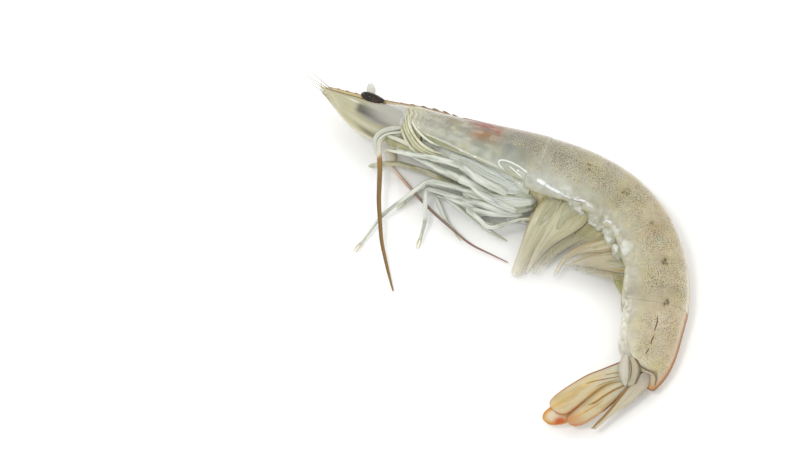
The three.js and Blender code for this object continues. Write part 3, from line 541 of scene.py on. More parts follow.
def build_ring(k):
    s0, s1 = R[k], R[k + 1]
    last = k == 5
    over = 0.0 if last else 0.8

    def front(f):
        return s0 - 0.4 + 0.3 * smooth(2.1, 2.45, f) ** 2

    def rear(f):
        if last:
            return s1 - 1.1 * np.exp(-((f - 0.75) / 0.35) ** 2) + 0.5 * np.exp(-(f / 0.18) ** 2) - 2.6 * smooth(1.5, 2.3, f)
        return s1 + over + 0.55 * np.sin(np.clip(f / 2.4, 0, 1) * math.pi) - 0.5 * smooth(2.1, 2.45, f) ** 2

    rows, ang, dist = [], [], []
    keel = 0.05 if k < 3 else 0.28 + 0.16 * (k - 3)

    def add(t, grow, lobe, shift=0.0):
        p, a, d = ring_section(lambda f: front(f) * (1 - t) + rear(f) * t + shift, grow, lobe, keel)
        rows.append(p)
        ang.append(a)
        dist.append(d)

    g0 = 0.992 if not last else 0.982
    add(0.0, g0 - 0.10, 0.2, -1.6)
    add(0.0, g0 - 0.03, 0.3, -1.2)
    for t in np.linspace(0, 1, 100 if last else 64):
        lobe = (0.3 if last else 0.8) * math.sin(math.pi * min(1, max(0, 0.04 + 0.92 * t))) ** 0.6
        g = g0 + 0.004 * math.sin(math.pi * t)
        g += 0.008 * smooth(0.1, 1, t) if not last else 0.0
        add(t, float(g), lobe)
    if last:
        # closed behind by a low dome that the tail fan grows out of
        for sh, g in ((0.22, 0.970), (0.42, 0.93), (0.62, 0.84), (0.80, 0.70), (0.92, 0.52), (1.0, 0.30), (1.02, 0.10)):
            add(1.0, g * 0.99, 0.3 * g, sh)
    else:
        add(1.0, g0 + 0.006, 0.1, 0.06)
        add(1.0, g0 - 0.003, 0.1, 0.05)
        add(1.0, g0 - 0.014, 0.1, -0.35)
        add(1.0, g0 - 0.20, 0.0, -0.9)
    rows, ang, dist = np.array(rows), np.array(ang), np.array(dist)
    out = unit(rows - body(dist, np.zeros_like(dist), np.zeros_like(dist)))
    soft = smooth(1.85, 2.10, ang) * (1 - smooth(2.36, 2.44, ang)) * (1 - smooth(80, 92, dist))
    rows = rows + out * (soft * 0.80 * (vnoise(rows, 2.9, 41.0) - 0.45) + soft * 0.10 * (vnoise(rows, 1.2, 42.0) - 0.5))[..., None]
    c = body_colour(dist, ang, rows)
    c = marks(c, dist, ang, rows)
    d = rear(ang) - dist
    if not last:
        # the plate's thin rear edge, and the shade of the fold in front of it
        c = mix(c, lin(206, 198, 172), 0.16 * np.exp(-((d - 0.1) / 0.35) ** 2) * (0.2 + 1.4 * vnoise(rows, 1.7, 6.0)))
        c = mix(c, lin(150, 140, 106), 0.10 * np.exp(-((d - 1.1) / 0.6) ** 2) * (1 - smooth(1.8, 2.2, ang)))
    else:
        c = mix(c, lin(104, 82, 44), 0.70 * np.exp(-((d - 0.1) / 0.28) ** 2) * (1 - smooth(1.2, 1.7, ang)))
        c = mix(c, lin(206, 196, 164), 0.6 * smooth(0.1, 0.5, -d))
    # line of the back: cream rim on the middle rings, dark orange-brown keel on the last
    if k < 5:
        c = mix(c, lin(224, 208, 176), (0.15 + 0.1 * k) * (1 - smooth(0.05, 0.42, ang)))
        if k >= 2:
            c = mix(c, lin(150, 112, 66), 0.18 * (k - 1) * np.exp(-(ang / 0.05) ** 2))
    else:
        c = mix(c, lin(204, 146, 80), 0.85 * (1 - smooth(0.06, 0.42, ang)))
        c = mix(c, lin(140, 88, 36), 0.90 * (1 - smooth(0.03, 0.10, ang)))
        # pale strip along the belly edge
        c = mix(c, lin(228, 224, 208), 0.6 * smooth(2.05, 2.25, ang) * (1 - smooth(2.9, 3.1, ang)))
        c = mix(c, lin(182, 174, 140), 0.45 * np.exp(-((ang - 2.14) / 0.03) ** 2))
        c = mix(c, lin(182, 174, 140), 0.35 * np.exp(-((ang - 2.32) / 0.025) ** 2))
    # glassy folds of the lower flank
    n = 0.6 * vnoise(rows, 1.7, 8.0) + 0.4 * vnoise(rows, 0.7, 12.0)
    c = mix(c, lin(222, 224, 212), 0.30 * smooth(0.50, 0.80, n) * smooth(1.9, 2.15, ang) * (1 - smooth(2.5, 2.7, ang)))
    c = mix(c, lin(150, 150, 126), 0.50 * smooth(0.55, 0.85, 1 - n) * smooth(1.95, 2.2, ang) * (1 - smooth(2.5, 2.7, ang)))
    fleck = vnoise(rows, 0.65, 43.0)
    c = mix(c, lin(138, 138, 118), 0.40 * smooth(0.64, 0.80, fleck) * soft * smooth(0.45, 0.65, vnoise(rows, 2.2, 47.0)))
    c = mix(c, lin(236, 239, 230), 0.55 * smooth(0.50, 0.78, 0.6 * vnoise(rows, 2.4, 44.0) + 0.4 * vnoise(rows, 0.9, 48.0)) * soft)
    # painted highlight: a broken near-white line along the wet ridge of the lower flank, strongest on the first rings
    painted_glint = np.exp(-((ang - ridge_at(dist) - 0.10 * (vnoise(rows, 1.6, 45.0) - 0.5)) / 0.050) ** 2) * smooth(0.40, 0.60, 0.6 * vnoise(rows, 2.0, 46.0) + 0.4 * vnoise(rows, 0.8, 49.0))
    c = mix(c, lin(250, 251, 246), painted_glint * np.clip(0.95 * blob(dist, ang, 43.0, 2.2, 3.4, 0.5) + 0.75 * blob(dist, ang, 49.5, 2.3, 2.2, 0.5) + 0.55 * blob(dist, ang, 55.5, 2.2, 2.6, 0.5)
                                                     + 0.40 * blob(dist, ang, 66.5, 2.3, 2.2, 0.5) + 0.30 * blob(dist, ang, 75.5, 2.3, 2.0, 0.5), 0, 1))
    c = mix(c, lin(186, 172, 106), 0.75 * smooth(LOW - 0.08, LOW + 0.15, ang) * (1 - smooth(84, 96, dist)))
    c = mix(c, lin(226, 220, 190), 0.45 * smooth(0.55, 0.85, vnoise(rows * np.array([1.0, 1.0, 0.5]), 1.0, 25.0)) * smooth(LOW, LOW + 0.15, ang) * (1 - smooth(84, 96, dist)))
    D = dot_density(dist, ang, rows) * (1 - 0.9 * smooth(2.0, 2.3, ang))
    V, q, t = loft(rows)
    b = Bag()
    wet = 0.16 + 0.50 * smooth(1.75, 2.1, ang)
    b.put(V, q, t, ends(c), ends(D[..., None])[:, 0], 1.0, ends(skin_of(rows, dist)), ends(wet[..., None])[:, 0])
    # painted highlights: near-white raised strands laid along the wet ridge of the first three rings
    for path, r in {0: (([(36.4, 9.9, 15.0), (37.5, 9.0, 14.9), (38.6, 8.3, 14.8)], 0.62), ([(38.0, 8.7, 14.8), (39.8, 7.4, 14.6), (41.2, 6.7, 14.4), (42.7, 5.8, 14.35)], 0.42), ([(42.2, 6.0, 14.4), (44.2, 5.0, 14.2), (45.2, 4.6, 14.1)], 0.24)),
                    1: (([(45.4, 4.7, 13.9), (46.6, 4.3, 14.0), (47.8, 3.9, 14.15), (48.9, 3.4, 14.35)], 0.28),),
                    2: (([(53.4, -1.0, 13.3), (54.4, -1.8, 13.85), (55.4, -2.6, 13.9)], 0.34),)}.get(k, ()):
        pts = resample(rounded(path, 1.0, 6), 60)
        pts += 0.16 * (np.stack([vnoise(pts, 0.8, 61.0 + j) for j in range(3)], -1) - 0.5)
        streak(b, pts, r, lin(255, 255, 252), sides=12, flat=0.35, W=0.9)
    if last:
        for a, e in ((98.0, 101.9), (103.0, 105.3), (106.3, 107.9)):
            s = np.linspace(a, e, 16)
            f = 1.545 + 0.008 * np.sin(s * 2.0)
            u, l = flank(s, f, 0.987)
            streak(b, body(s, u, l + 0.01), 0.17, lin(120, 86, 48), flat=0.3)
        for path in ([(59.4, -38.6, 8.5), (60.5, -38.7, 8.8), (61.1, -39.8, 8.65), (61.7, -40.9, 8.5), (63.4, -41.8, 8.25), (64.9, -42.3, 7.85), (65.6, -43.3, 6.9), (65.4, -44.7, 5.1)],):
            streak(b, rounded(path, 1.0, 6), 0.14, lin(110, 84, 40), flat=0.8)
    return b.make(f"shell_ring_{k + 1}", SHELL, "shell", [f"abdomen_{k + 1}"])


for _k in range(6):
    build_ring(_k)

# ------------------------------------------------------------------ carapace
COVER = 0.74 * math.pi


def front_edge(f):
    """Front margin: eye notch, then the spine by the antenna, then back and down."""
    f = np.asarray(f, float)
    return 0.2 + 1.6 * np.exp(-((f - 0.75) / 0.22) ** 2) - 1.1 * np.exp(-((f - 1.12) / 0.14) ** 2) + 7.0 * smooth(1.5, 2.35, f) ** 1.6


def fold_at(s):
    """Angle of the pale fold that bounds the gill cover."""
    return np.interp(s, [7.0, 8.1, 13.4, 16.2, 18.0, 20.8, 24.0], [2.08, 2.10, 2.12, 2.18, 2.22, 2.27, 2.28])


def cover(s, f, scale=1.0, relief=True):
    """Height above the axis and reach to the side of the carapace's skin."""
    up, down, hf = back(s) * scale, belly(s) * scale, half(s) * scale
    edge = np.minimum(gill(s), down * 0.82)
    low = abs(math.cos(COVER))
    c, n = np.cos(f), np.sin(f)
    u = np.where(c >= 0, up * np.abs(c) ** 0.92, -edge * (np.abs(c) / low) ** 0.9)
    l = hf * np.abs(n) ** 0.8
    if relief:  # groove behind the head, folds behind the front edge, swelling low at the rear
        g = -0.30 * np.exp(-((s - (12.5 + 3.2 * np.sin(f))) / 1.1) ** 2) * smooth(0.5, 0.8, f) * (1 - smooth(1.7, 2.0, f))
        d = s - front_edge(f)
        g = g + 0.24 * np.exp(-d / 3.4) * np.cos(d * 4.6) * smooth(0.55, 0.9, f) * (1 - smooth(2.28, 2.33, f))
        rr = np.sqrt(((s - 32.5) / 4.0) ** 2 + ((f - 2.20) / 0.24) ** 2)
        g = g + 0.38 * (1 - smooth(0.55, 1.05, rr)) * (1 - smooth(2.28, 2.33, f))
        g = g + 0.05 * np.sin(1.9 * s + 5.0 * f) * np.sin(1.1 * s - 7.0 * f) * smooth(1.5, 2.1, f)
        g = g + 0.22 * np.exp(-((f - fold_at(s)) / 0.045) ** 2) * smooth(6, 9, s) * (1 - smooth(25, 29, s))
        l, u = l + g * n, u + g * c * 0.6
    return u, l


def carapace_section(s_of_q, scale=1.0):
    f = np.linspace(0, 1, 92) * COVER
    s = s_of_q(f)
    u, l = cover(s, f, scale)
    ue, le, se = u[-1], l[-1], s[-1]
    eu, el, ef = [], [], []
    th = 0.3
    for a in np.linspace(0.25, 1.0, 4) * math.pi:
        eu.append(ue - math.sin(a) * th * 0.7)
        el.append(le - th * (1 - math.cos(a)))
        ef.append(COVER + 0.01)
    dn = float(belly(se)) * scale
    lip_l = le - 2 * th
    # breast: overlapping leg bases run back and down from under the gill cover's edge
    n = 34
    on = float(smooth(7, 12, se)) * float(1 - smooth(35.5, 37.5, se))
    for k in range(n + 1):
        t = k / n
        bu = ue + 0.4 - (dn * 0.99 + ue + 0.4) * math.sin(t * math.pi / 2) ** 0.9
        bl = lip_l * (1 - t) ** 0.55 * 0.95
        phase = (se - 15.5) / 3.9 - t * 2.2
        lump = 0.20 * (abs(math.sin(math.pi * phase)) ** 0.7 - 0.5) * math.sin(math.pi * min(1, t * 1.05 + 0.05)) ** 0.7 * on
        bu -= lump * (0.3 + 0.7 * t)
        bl += lump * (1 - 0.6 * t)
        if k == n:
            bl = 0.0
        eu.append(bu)
        el.append(max(bl, 0.0))
        ef.append(COVER + 0.08 + (math.pi - COVER - 0.08) * t)
    U, L = np.concatenate([u, eu]), np.concatenate([l, el])
    Fa, S = np.concatenate([f, ef]), np.concatenate([s, np.full(len(eu), se)])
    P, Q = body(S, U, L), body(S, U, -L)
    return (np.concatenate([P, Q[1:-1][::-1]]), np.concatenate([Fa, Fa[1:-1][::-1]]), np.concatenate([S, S[1:-1][::-1]]))


def build_carapace():
    rows, ang, dist = [], [], []

    def add(t, scale, shift=0.0):
        def s_of(f):
            a, b = front_edge(f), R[0] + 0.8 + 0.4 * np.sin(np.clip(f / 2.3, 0, 1) * math.pi) - 0.9 * smooth(1.9, 2.3, f)
            return a * (1 - t) + b * t + shift
        p, a, d = carapace_section(s_of, scale)
        rows.append(p)
        ang.append(a)
        dist.append(d)

    add(0.0, 0.80, 1.2)
    add(0.0, 0.93, 0.7)
    add(0.0, 0.965, 0.08)
    add(0.0, 0.985, -0.06)
    for t in np.linspace(0, 1, 150):
        add(t, float(1.0 + 0.006 * smooth(0.9, 1, t)))
    add(1.0, 1.001, 0.08)
    add(1.0, 0.988, 0.04)
    add(1.0, 0.975, -0.4)
    add(1.0, 0.80, -1.0)
    rows, ang, dist = np.array(rows), np.array(ang), np.array(dist)
    c = body_colour(dist, ang, rows)
    c = organs(c, dist, ang, rows)
    fine = vnoise(np.stack([dist * 0.55 + 1.2 * ang, ang * 9.0, np.zeros_like(dist)], -1), 1.0, 51.0)
    veil = 1 - smooth(24, 30, dist)
    c = mix(c, lin(224, 224, 208), 0.26 * smooth(0.52, 0.80, fine) * veil)
    c = mix(c, lin(136, 134, 108), 0.24 * smooth(0.54, 0.82, 1 - fine) * veil)
    c = mix(c, lin(150, 136, 92), 0.55 * smooth(0.70, 0.84, vnoise(rows, 0.42, 52.0)) * veil * smooth(0.4, 0.7, ang) * (1 - smooth(1.5, 1.9, ang)))
    d = dist - front_edge(ang)
    on = (ang < COVER + 0.005)
    c = mix(c, lin(228, 224, 190), on * 0.90 * np.exp(-(d / 3.4) ** 2) * (0.5 + 0.5 * np.cos(d * 4.6)) * smooth(0.6, 0.9, ang))
    c = mix(c, lin(164, 160, 98), on * 0.75 * np.exp(-(d / 3.4) ** 2) * (0.5 - 0.5 * np.cos(d * 4.6)) * smooth(0.6, 0.9, ang))
    c = mix(c, lin(224, 225, 212), on * 0.80 * np.exp(-((ang - fold_at(dist)) / 0.035) ** 2) * smooth(6, 8, dist) * (1 - smooth(27, 30, dist)))
    # painted highlights: three small near-white spots on the lower flank of the cover
    c = mix(c, lin(250, 250, 246), on * np.clip(0.9 * blob(dist, ang, 18.0, 2.23, 0.55, 0.04) + 0.8 * blob(dist, ang, 4.9, 1.92, 0.5, 0.06) + 0.6 * blob(dist, ang, 8.1, 2.10, 0.35, 0.03), 0, 1))
    e = R[0] + 0.8 - dist
    c = mix(c, lin(226, 222, 208), on * 0.20 * np.exp(-(e / 0.4) ** 2))
    # yellow-green shadows and a cream line along the lower margin of the cover, and the milky leg bases under it
    c = mix(c, lin(160, 162, 112), on * 0.60 * smooth(0.02, 0.05, ang - fold_at(dist)) * (1 - smooth(19, 24, dist)) * (0.4 + 1.2 * vnoise(rows, 1.6, 9.0)))
    c = mix(c, lin(206, 206, 178), 0.35 * np.exp(-((ang - COVER) / 0.03) ** 2))
    c = mix(c, lin(204, 208, 194), 0.65 * smooth(COVER + 0.03, COVER + 0.12, ang))
    n = vnoise(rows, 1.4, 10.0)
    c = mix(c, lin(150, 152, 124), 0.40 * smooth(0.55, 0.85, n) * smooth(COVER + 0.03, COVER + 0.12, ang))
    D = dot_density(dist, ang, rows) * on
    wet = 0.20 + 0.70 * smooth(1.5, 2.0, ang) + 0.25 * np.exp(-((d - 3) / 3) ** 2)
    V, q, t = loft(rows)
    b = Bag()
    b.put(V, q, t, ends(c), ends(D[..., None])[:, 0], 1.0, ends(skin_of(rows, dist)), ends(wet[..., None])[:, 0])

    # glassy fold low at the rear of the gill cover: two raised hoops in near-white, a pale fold with a painted
    # highlight along it
    for pts, r in (([(30.6, 2.31), (29.0, 2.24), (28.2, 2.13), (28.6, 2.03), (30.0, 1.985), (32.0, 1.99), (34.2, 2.03), (36.6, 2.11), (38.0, 2.18)], 0.28),
                   ([(31.2, 2.12), (32.6, 2.17), (34.2, 2.24), (35.4, 2.31)], 0.22)):
        pts = np.array(pts)
        k = np.linspace(0, len(pts) - 1, 60)
        s, f = np.interp(k, range(len(pts)), pts[:, 0]), np.interp(k, range(len(pts)), pts[:, 1])
        for _ in range(6):
            s[1:-1], f[1:-1] = (s[:-2] + 2 * s[1:-1] + s[2:]) / 4, (f[:-2] + 2 * f[1:-1] + f[2:]) / 4
        u, l = cover(s, f)
        streak(b, body(s, u, l + 0.06), r, lin(244, 245, 232), flat=0.8, W=0.15)

    # head proper in front of the carapace's edge, narrowing between the scales
    rows, ang, dist = [], [], []
    for t in np.linspace(0, 1, 60):
        s = -9.5 + 16.0 * t
        g = 0.92 * (0.25 + 0.75 * smooth(0, 0.16, t))
        f = np.linspace(0, 2 * math.pi, 72, endpoint=False)
        c0, n0 = np.cos(f), np.sin(f)
        u = np.where(c0 >= 0, back(s) * g * np.abs(c0) ** 0.9, -belly(s) * g * np.abs(c0) ** 0.8)
        l = half(s) * g * np.sign(n0) * np.abs(n0) ** 0.85
        rip = 1 + 0.012 * np.sin(s * 2.1 + 3 * np.abs(n0)) + 0.012 * np.sin(s * 1.3 - 2 * c0)
        rows.append(body(s, u * rip, l * rip))
        ang.append(np.minimum(f, 2 * math.pi - f))
        dist.append(np.full_like(f, s))
    rows, ang, dist = np.array(rows), np.array(ang), np.array(dist)
    c = body_colour(dist, ang, rows)
    c = mix(c, lin(204, 203, 198), 0.85 * (1 - smooth(1.0, 3.0, dist)))
    c = mix(c, lin(178, 174, 128), 0.6 * smooth(1.9, 2.2, ang))
    c = mix(c, lin(216, 210, 176), 0.5 * smooth(1.4, 3.5, dist) * (0.5 + 0.5 * np.sin(dist * 4.2)))
    V, q, t = loft(rows)
    b.put(V, q, t, ends(c), 0.30, 1.0, ends(skin_of(rows, dist)), 0.35)

    # rostrum: a thin crest that carries on the back's ridge, gold-brown above and pale below
    line = np.array([(21.5, 29.6), (18.5, 31.1), (14.8, 32.9), (11.2, 34.4), (6.0, 35.9), (0.8, 36.9), (-3.4, 37.8), (-9.4, 39.4), (-14.8, 41.0), (-18.5, 42.1)])
    crest = resample(np.concatenate([line, np.full((len(line), 1), 7.45)], 1), 170)
    for _ in range(40):
        crest[1:-1] = (crest[:-2] + 2 * crest[1:-1] + crest[2:]) / 4
    F = unit(np.gradient(crest, axis=0))
    Up = np.cross(F, (0, 0, 1.0))
    if Up[0, 1] < 0:
        Up = -Up
    rows, cols = [], []
    n = len(crest)
    for i, t in enumerate(np.linspace(0, 1, n)):
        h = 2.6 * math.sin(min(1, t / 0.25) * math.pi / 2) * (1 - 0.72 * max(0, (t - 0.25) / 0.75)) + 0.25
        w = 0.72 * (1 - 0.68 * t) * (1 - smooth(0.97, 1.0, t) * 0.9)
        top = 0.38 * (1 - 0.4 * t) * float(smooth(0.0, 0.12, t))
        prof = [(top, 0.0), (top * 0.8, 0.42), (top * 0.3, 0.62), (-h * 0.2, 0.86), (-h * 0.5, 1.0), (-h * 0.85, 0.80), (-h, 0.35)]
        pts = [(u, l * w) for u, l in prof] + [(-h * 1.02, 0.0)] + [(u, -l * w) for u, l in prof[:0:-1]]
        rows.append(crest[i] + np.array([Up[i] * u + np.array([0, 0, 1.0]) * l for u, l in pts]))
        k = np.array([(u + h) / (h + top) for u, l in pts])
        col = mix(np.broadcast_to(lin(222, 210, 182), (len(pts), 3)), np.broadcast_to(lin(184, 150, 88), (len(pts), 3)), smooth(0.55, 0.85, k))
        dark = 0.5 + 0.5 * math.sin(t * 150) * math.sin(t * 61 + 1)
        col = mix(col, np.broadcast_to(lin(88, 58, 30), (len(pts), 3)), (0.50 + 0.45 * float(smooth(0.3, 0.7, dark))) * smooth(0.80, 0.97, k) * float(smooth(0.12, 0.3, t)))
        cols.append(col)
    V, q, t = loft(np.array(rows))
    b.put(V, q, t, ends(np.array(cols)), 0.0, 1.0, W=0.2)
    # teeth along its top, leaning forward: brown over the head, then low ones, then small rosy ones at the tip
    brown, gold, rose = lin(98, 50, 26), lin(186, 152, 92), lin(190, 104, 84)
    for t0, size, tone in ((0.025, 1.0, brown), (0.085, 1.3, brown), (0.145, 1.4, brown), (0.21, 1.35, brown), (0.28, 1.2, brown), (0.355, 1.0, brown), (0.43, 0.8, brown),
                           (0.51, 0.6, gold), (0.60, 0.5, gold), (0.70, 0.5, gold), (0.80, 0.6, rose), (0.86, 0.6, rose), (0.92, 0.5, rose)):
        j = int(t0 * n)
        p0 = crest[j] + Up[j] * 0.10
        tipp = p0 + F[j] * size * 1.5 + Up[j] * size * 0.42
        mid = p0 + F[j] * size * 0.5 + Up[j] * size * 0.38
        path = np.array([(1 - x) ** 2 * p0 + 2 * x * (1 - x) * mid + x * x * tipp for x in np.linspace(0, 1, 9)])
        rad = 0.38 * (0.5 + 0.5 * size) * (1 - np.linspace(0, 1, 9)) ** 0.75 + 0.02
        rws, _ = tube_rows(path, rad, 10, 0.6)
        V, q, t = loft(rws)
        cc = mix(np.broadcast_to(lin(176, 128, 84), (9, 3)), np.broadcast_to(tone, (9, 3)), np.linspace(0.2, 1, 9))
        b.put(V, q, t, ends(np.repeat(cc[:, None], 10, 1)), 0.0, 1.0, W=0.1)
    # cream and yellow-green folds that hang from the front margin of the carapace
    for pts, r, tone in (([(2.9, 31.6, 12.3), (3.1, 27.9, 12.4), (4.4, 24.4, 12.5), (6.5, 21.4, 12.5), (9.6, 19.3, 12.5), (12.2, 18.7, 12.4)], 0.42, lin(222, 220, 192)),
                         ([(1.8, 31.6, 11.4), (1.8, 28.1, 11.5), (3.1, 24.5, 11.5), (4.9, 21.2, 11.5), (8.1, 19.2, 11.3), (12.4, 18.4, 11.2)], 0.60, lin(194, 193, 158)),
                         ([(1.0, 31.0, 10.7), (1.0, 27.8, 10.9), (2.1, 24.2, 10.9), (3.9, 21.0, 10.8), (7.0, 18.9, 10.5), (11.2, 18.3, 10.3)], 0.46, lin(212, 210, 180)),
                         ([(3.9, 29.4, 12.9), (4.4, 27.0, 13.0), (6.2, 24.2, 13.1), (8.6, 22.0, 13.1), (11.2, 20.6, 13.0)], 0.30, lin(230, 230, 212)), ([(2.2, 31.4, 11.9), (2.4, 28.0, 12.0), (3.6, 24.4, 12.1), (5.6, 21.2, 12.1), (8.8, 19.1, 12.0), (12.2, 18.3, 11.8)], 0.36, lin(206, 204, 172))):
        path = resample(rounded(pts, 2.5, 8), 70)
        x = np.linspace(0, 1, 70)
        rws, _ = tube_rows(path, r * np.clip(np.minimum(x, 1 - x) / 0.2, 0.08, 1) ** 0.7, 18, 0.8)
        V, q, t = loft(rws)
        cc = mix(np.broadcast_to(tone, rws.shape), np.broadcast_to(lin(168, 166, 118), rws.shape), 0.35 * smooth(0.5, 0.8, vnoise(rws, 1.3, 33.0)))
        b.put(V, q, t, ends(cc), 0.0, 1.0, W=0.4)
    # smooth masses where the legs spring from, ribbed along their length
    for pts, radii, z in (([(12.7, 19.7, 10.8), (17.2, 17.5, 10.6), (22.4, 14.1, 10.2), (27.6, 11.4, 9.8), (32.5, 9.5, 9.6), (35.6, 8.9, 9.6)], [1.2, 2.1, 2.7, 3.0, 2.6, 1.4], 1),
                          ([(16.9, 11.9, 7.2), (22.1, 9.4, 7.4), (27.6, 7.9, 7.6), (32.5, 7.1, 8.0), (36.7, 7.4, 8.4)], [2.0, 3.6, 4.2, 3.9, 2.2], 1),
                          ([(12.7, 19.7, 5.2), (17.2, 17.5, 5.4), (22.4, 14.1, 5.8), (27.6, 11.4, 6.2), (32.5, 9.5, 6.4), (35.6, 8.9, 6.4)], [1.2, 2.1, 2.7, 3.0, 2.6, 1.4], 1)):
        n2 = 64
        path = resample(rounded(pts, 3.0, 8), n2)
        x = np.linspace(0, 1, n2)
        rad = np.interp(x, np.linspace(0, 1, len(radii)), radii) * np.clip(np.minimum(x, 1 - x) / 0.08, 0.05, 1) ** 0.5
        rws, fa = tube_rows(path, rad, 84, 0.85)
        A = np.broadcast_to(fa[None], rws.shape[:2])
        ph = 7 * A + 1.6 * np.sin(3.0 * x)[:, None] + 2.0 * vnoise(np.stack([np.broadcast_to(x[:, None] * 2.0, A.shape), np.cos(A), np.sin(A)], -1), 1.0, 30.0)
        groove = 0.5 + 0.5 * np.cos(ph)
        rws = rws + 0.15 * (groove ** 0.6 - 0.6)[..., None] * unit(rws - path[:, None])
        V, q, t = loft(rws)
        # pale ribs with painted shade: darker in the grooves between them, and dark olive in patches deep in the
        # grooves
        c = mix(np.broadcast_to(lin(186, 190, 166), rws.shape), np.broadcast_to(lin(204, 209, 194), rws.shape), smooth(0.05, 0.4, groove))
        c = mix(c, lin(226, 228, 214), 0.55 * smooth(0.75, 1.0, groove) * smooth(0.35, 0.7, vnoise(rws, 2.0, 31.0)))
        c = mix(c, lin(112, 112, 82), 0.85 * (1 - smooth(0.0, 0.14, groove)) * smooth(0.60, 0.76, vnoise(rws, 1.5, 32.0)))
        lines = vnoise(np.stack([x[:, None] * 3.0 + 0 * A, np.cos(A) * 7.0, np.sin(A) * 7.0], -1), 1.0, 34.0)
        c = mix(c, lin(160, 166, 142), 0.45 * smooth(0.54, 0.74, lines))
        c = mix(c, lin(232, 235, 224), 0.50 * smooth(0.54, 0.74, 1 - lines))
        b.put(V, q, t, ends(c), 0.0, 1.0, W=0.35)
        for a0 in rng.uniform(-1.5, 1.5, 9):  # pale strands over them
            i0, i1 = int(rng.uniform(3, 21)), int(rng.uniform(41, 60))
            xi = np.linspace(0, 1, i1 - i0)
            am = a0 + 0.5 * np.sin(xi * 2.4 + a0) * rng.uniform(0.3, 1.0)
            j = (am / (2 * math.pi) * 84).astype(int) % 84
            pth = rws[np.arange(i0, i1), j]
            for _ in range(4):
                pth[1:-1] = (pth[:-2] + 2 * pth[1:-1] + pth[2:]) / 4
            streak(b, pth, rng.uniform(0.13, 0.22), lin(226, 229, 217), sides=6, flat=0.8, W=0.2)
    # the fine ridge that runs back beside the rostrum, dark in front and rosy behind
    for pts, r, tone in (([(17.4, 29.9, 11.9), (19.2, 29.2, 12.4), (20.8, 28.5, 12.7), (21.9, 28.1, 12.9)], 0.15, lin(148, 108, 92)),
                         ([(20.2, 28.7, 12.6), (21.9, 28.1, 12.9), (23.4, 27.3, 13.3), (25.0, 26.5, 13.5)], 0.13, lin(158, 112, 98)),
                         ([(24.4, 26.8, 13.4), (26.5, 26.3, 13.4), (28.1, 26.1, 13.3)], 0.10, lin(186, 142, 130))):
        streak(b, rounded(pts, 1.0, 6), r, tone, W=0.3)
    return b.make("shell_carapace", SHELL, "shell", ["carapace"])


build_carapace()

# ------------------------------------------------------------------ limbs
LIMBS = {
    "maxilliped_left": ((24.4, 9.4, 12.7), 1.0, ((9.3, 143, 0, 0.85), (8.9, 160, -5, 0.7), (7.1, 165, -8, 0.55), (6.2, 162, -11, 0.2))),
    "maxilliped_right": ((24.5, 7.8, 4.0), 1.0, ((11.0, 147, 3, 0.85), (8.8, 154, 4, 0.7), (7.5, 161, 0, 0.6), (8.0, -177, -7, 0.35))),
    "leg_1_left": ((25.2, 6.2, 10.8), 0.95, ((8.6, 135, -1, 0.8), (10.1, 158, -1, 0.6), (8.1, 147, -6, 0.5), (7.0, 147, -7, 0.2))),
    "leg_1_right": ((26.2, 6.6, 3.4), 0.95, ((2.4, 164, -39, 0.85), (8.3, 151, -2, 0.7), (10.7, 159, 1, 0.55), (5.0, -138, -5, 0.42), (5.0, -138, -5, 0.2))),
    "leg_2_left": ((28.4, 5.8, 9.6), 1.0, ((2.3, -133, -20, 0.9), (10.7, 146, -2, 0.8), (10.3, 166, 4, 0.6), (15.6, -148, -21, 0.5), (12.2, -126, -11, 0.2))),
    "leg_2_right": ((28.9, 5.0, 4.4), 0.95, ((2.0, -141, -17, 0.85), (9.2, 154, -6, 0.7), (10.3, 157, 5, 0.55), (8.0, -67, -12, 0.45), (7.2, -52, -10, 0.2))),
    "leg_3_left": ((31.3, 4.0, 8.6), 1.0, ((3.3, -130, -19, 0.9), (14.1, 151, -4, 0.75), (10.2, 161, 3, 0.6), (9.4, -90, -16, 0.5), (7.6, -108, -25, 0.2))),
    "leg_3_right": ((31.6, 3.4, 4.0), 0.9, ((3.3, -130, -25, 0.8), (10.9, 153, -7, 0.6), (3.4, -32, 0, 0.45), (5.6, -7, -4, 0.2))),
    "leg_4_left": ((33.4, 2.9, 7.9), 1.0, ((3.7, -124, -39, 0.9), (12.9, 154, -3, 0.75), (9.1, 153, 3, 0.6), (14.5, -38, -10, 0.5), (6.3, -26, -15, 0.2))),
    "leg_4_right": ((33.5, 2.6, 3.55), 0.85, ((3.1, -117, -22, 0.7), (3.7, 177, -11, 0.5), (2.2, -34, -16, 0.4), (4.2, -3, -4, 0.18))),
    "leg_5_left": ((35.2, 2.6, 9.06), 0.95, ((3.9, -111, -6, 0.85), (16.7, 161, 1, 0.65), (8.8, -48, 7, 0.5), (15.8, 18, 12, 0.2))),
    "leg_5_right": ((35.8, 2.0, 4.4), 0.85, ((3.5, -93, -16, 0.7), (4.1, -162, -11, 0.5), (2.5, -24, -18, 0.4), (4.1, 14, 0, 0.18))),
}


def joints_of(hip, radius, articles):
    P, r = [np.array(hip, float)], [radius]
    for length, head, pitch, rad in articles:
        h, p = math.radians(head), math.radians(pitch)
        P.append(P[-1] + length * np.array([math.cos(p) * math.cos(h), math.cos(p) * math.sin(h), math.sin(p)]))
        r.append(rad)
    return np.array(P), np.array(r)


def along(P, path):
    """How far along a path each of its original corners lies."""
    d = arc(path)
    return np.array([d[np.argmin(np.linalg.norm(path - p, axis=1))] for p in P])


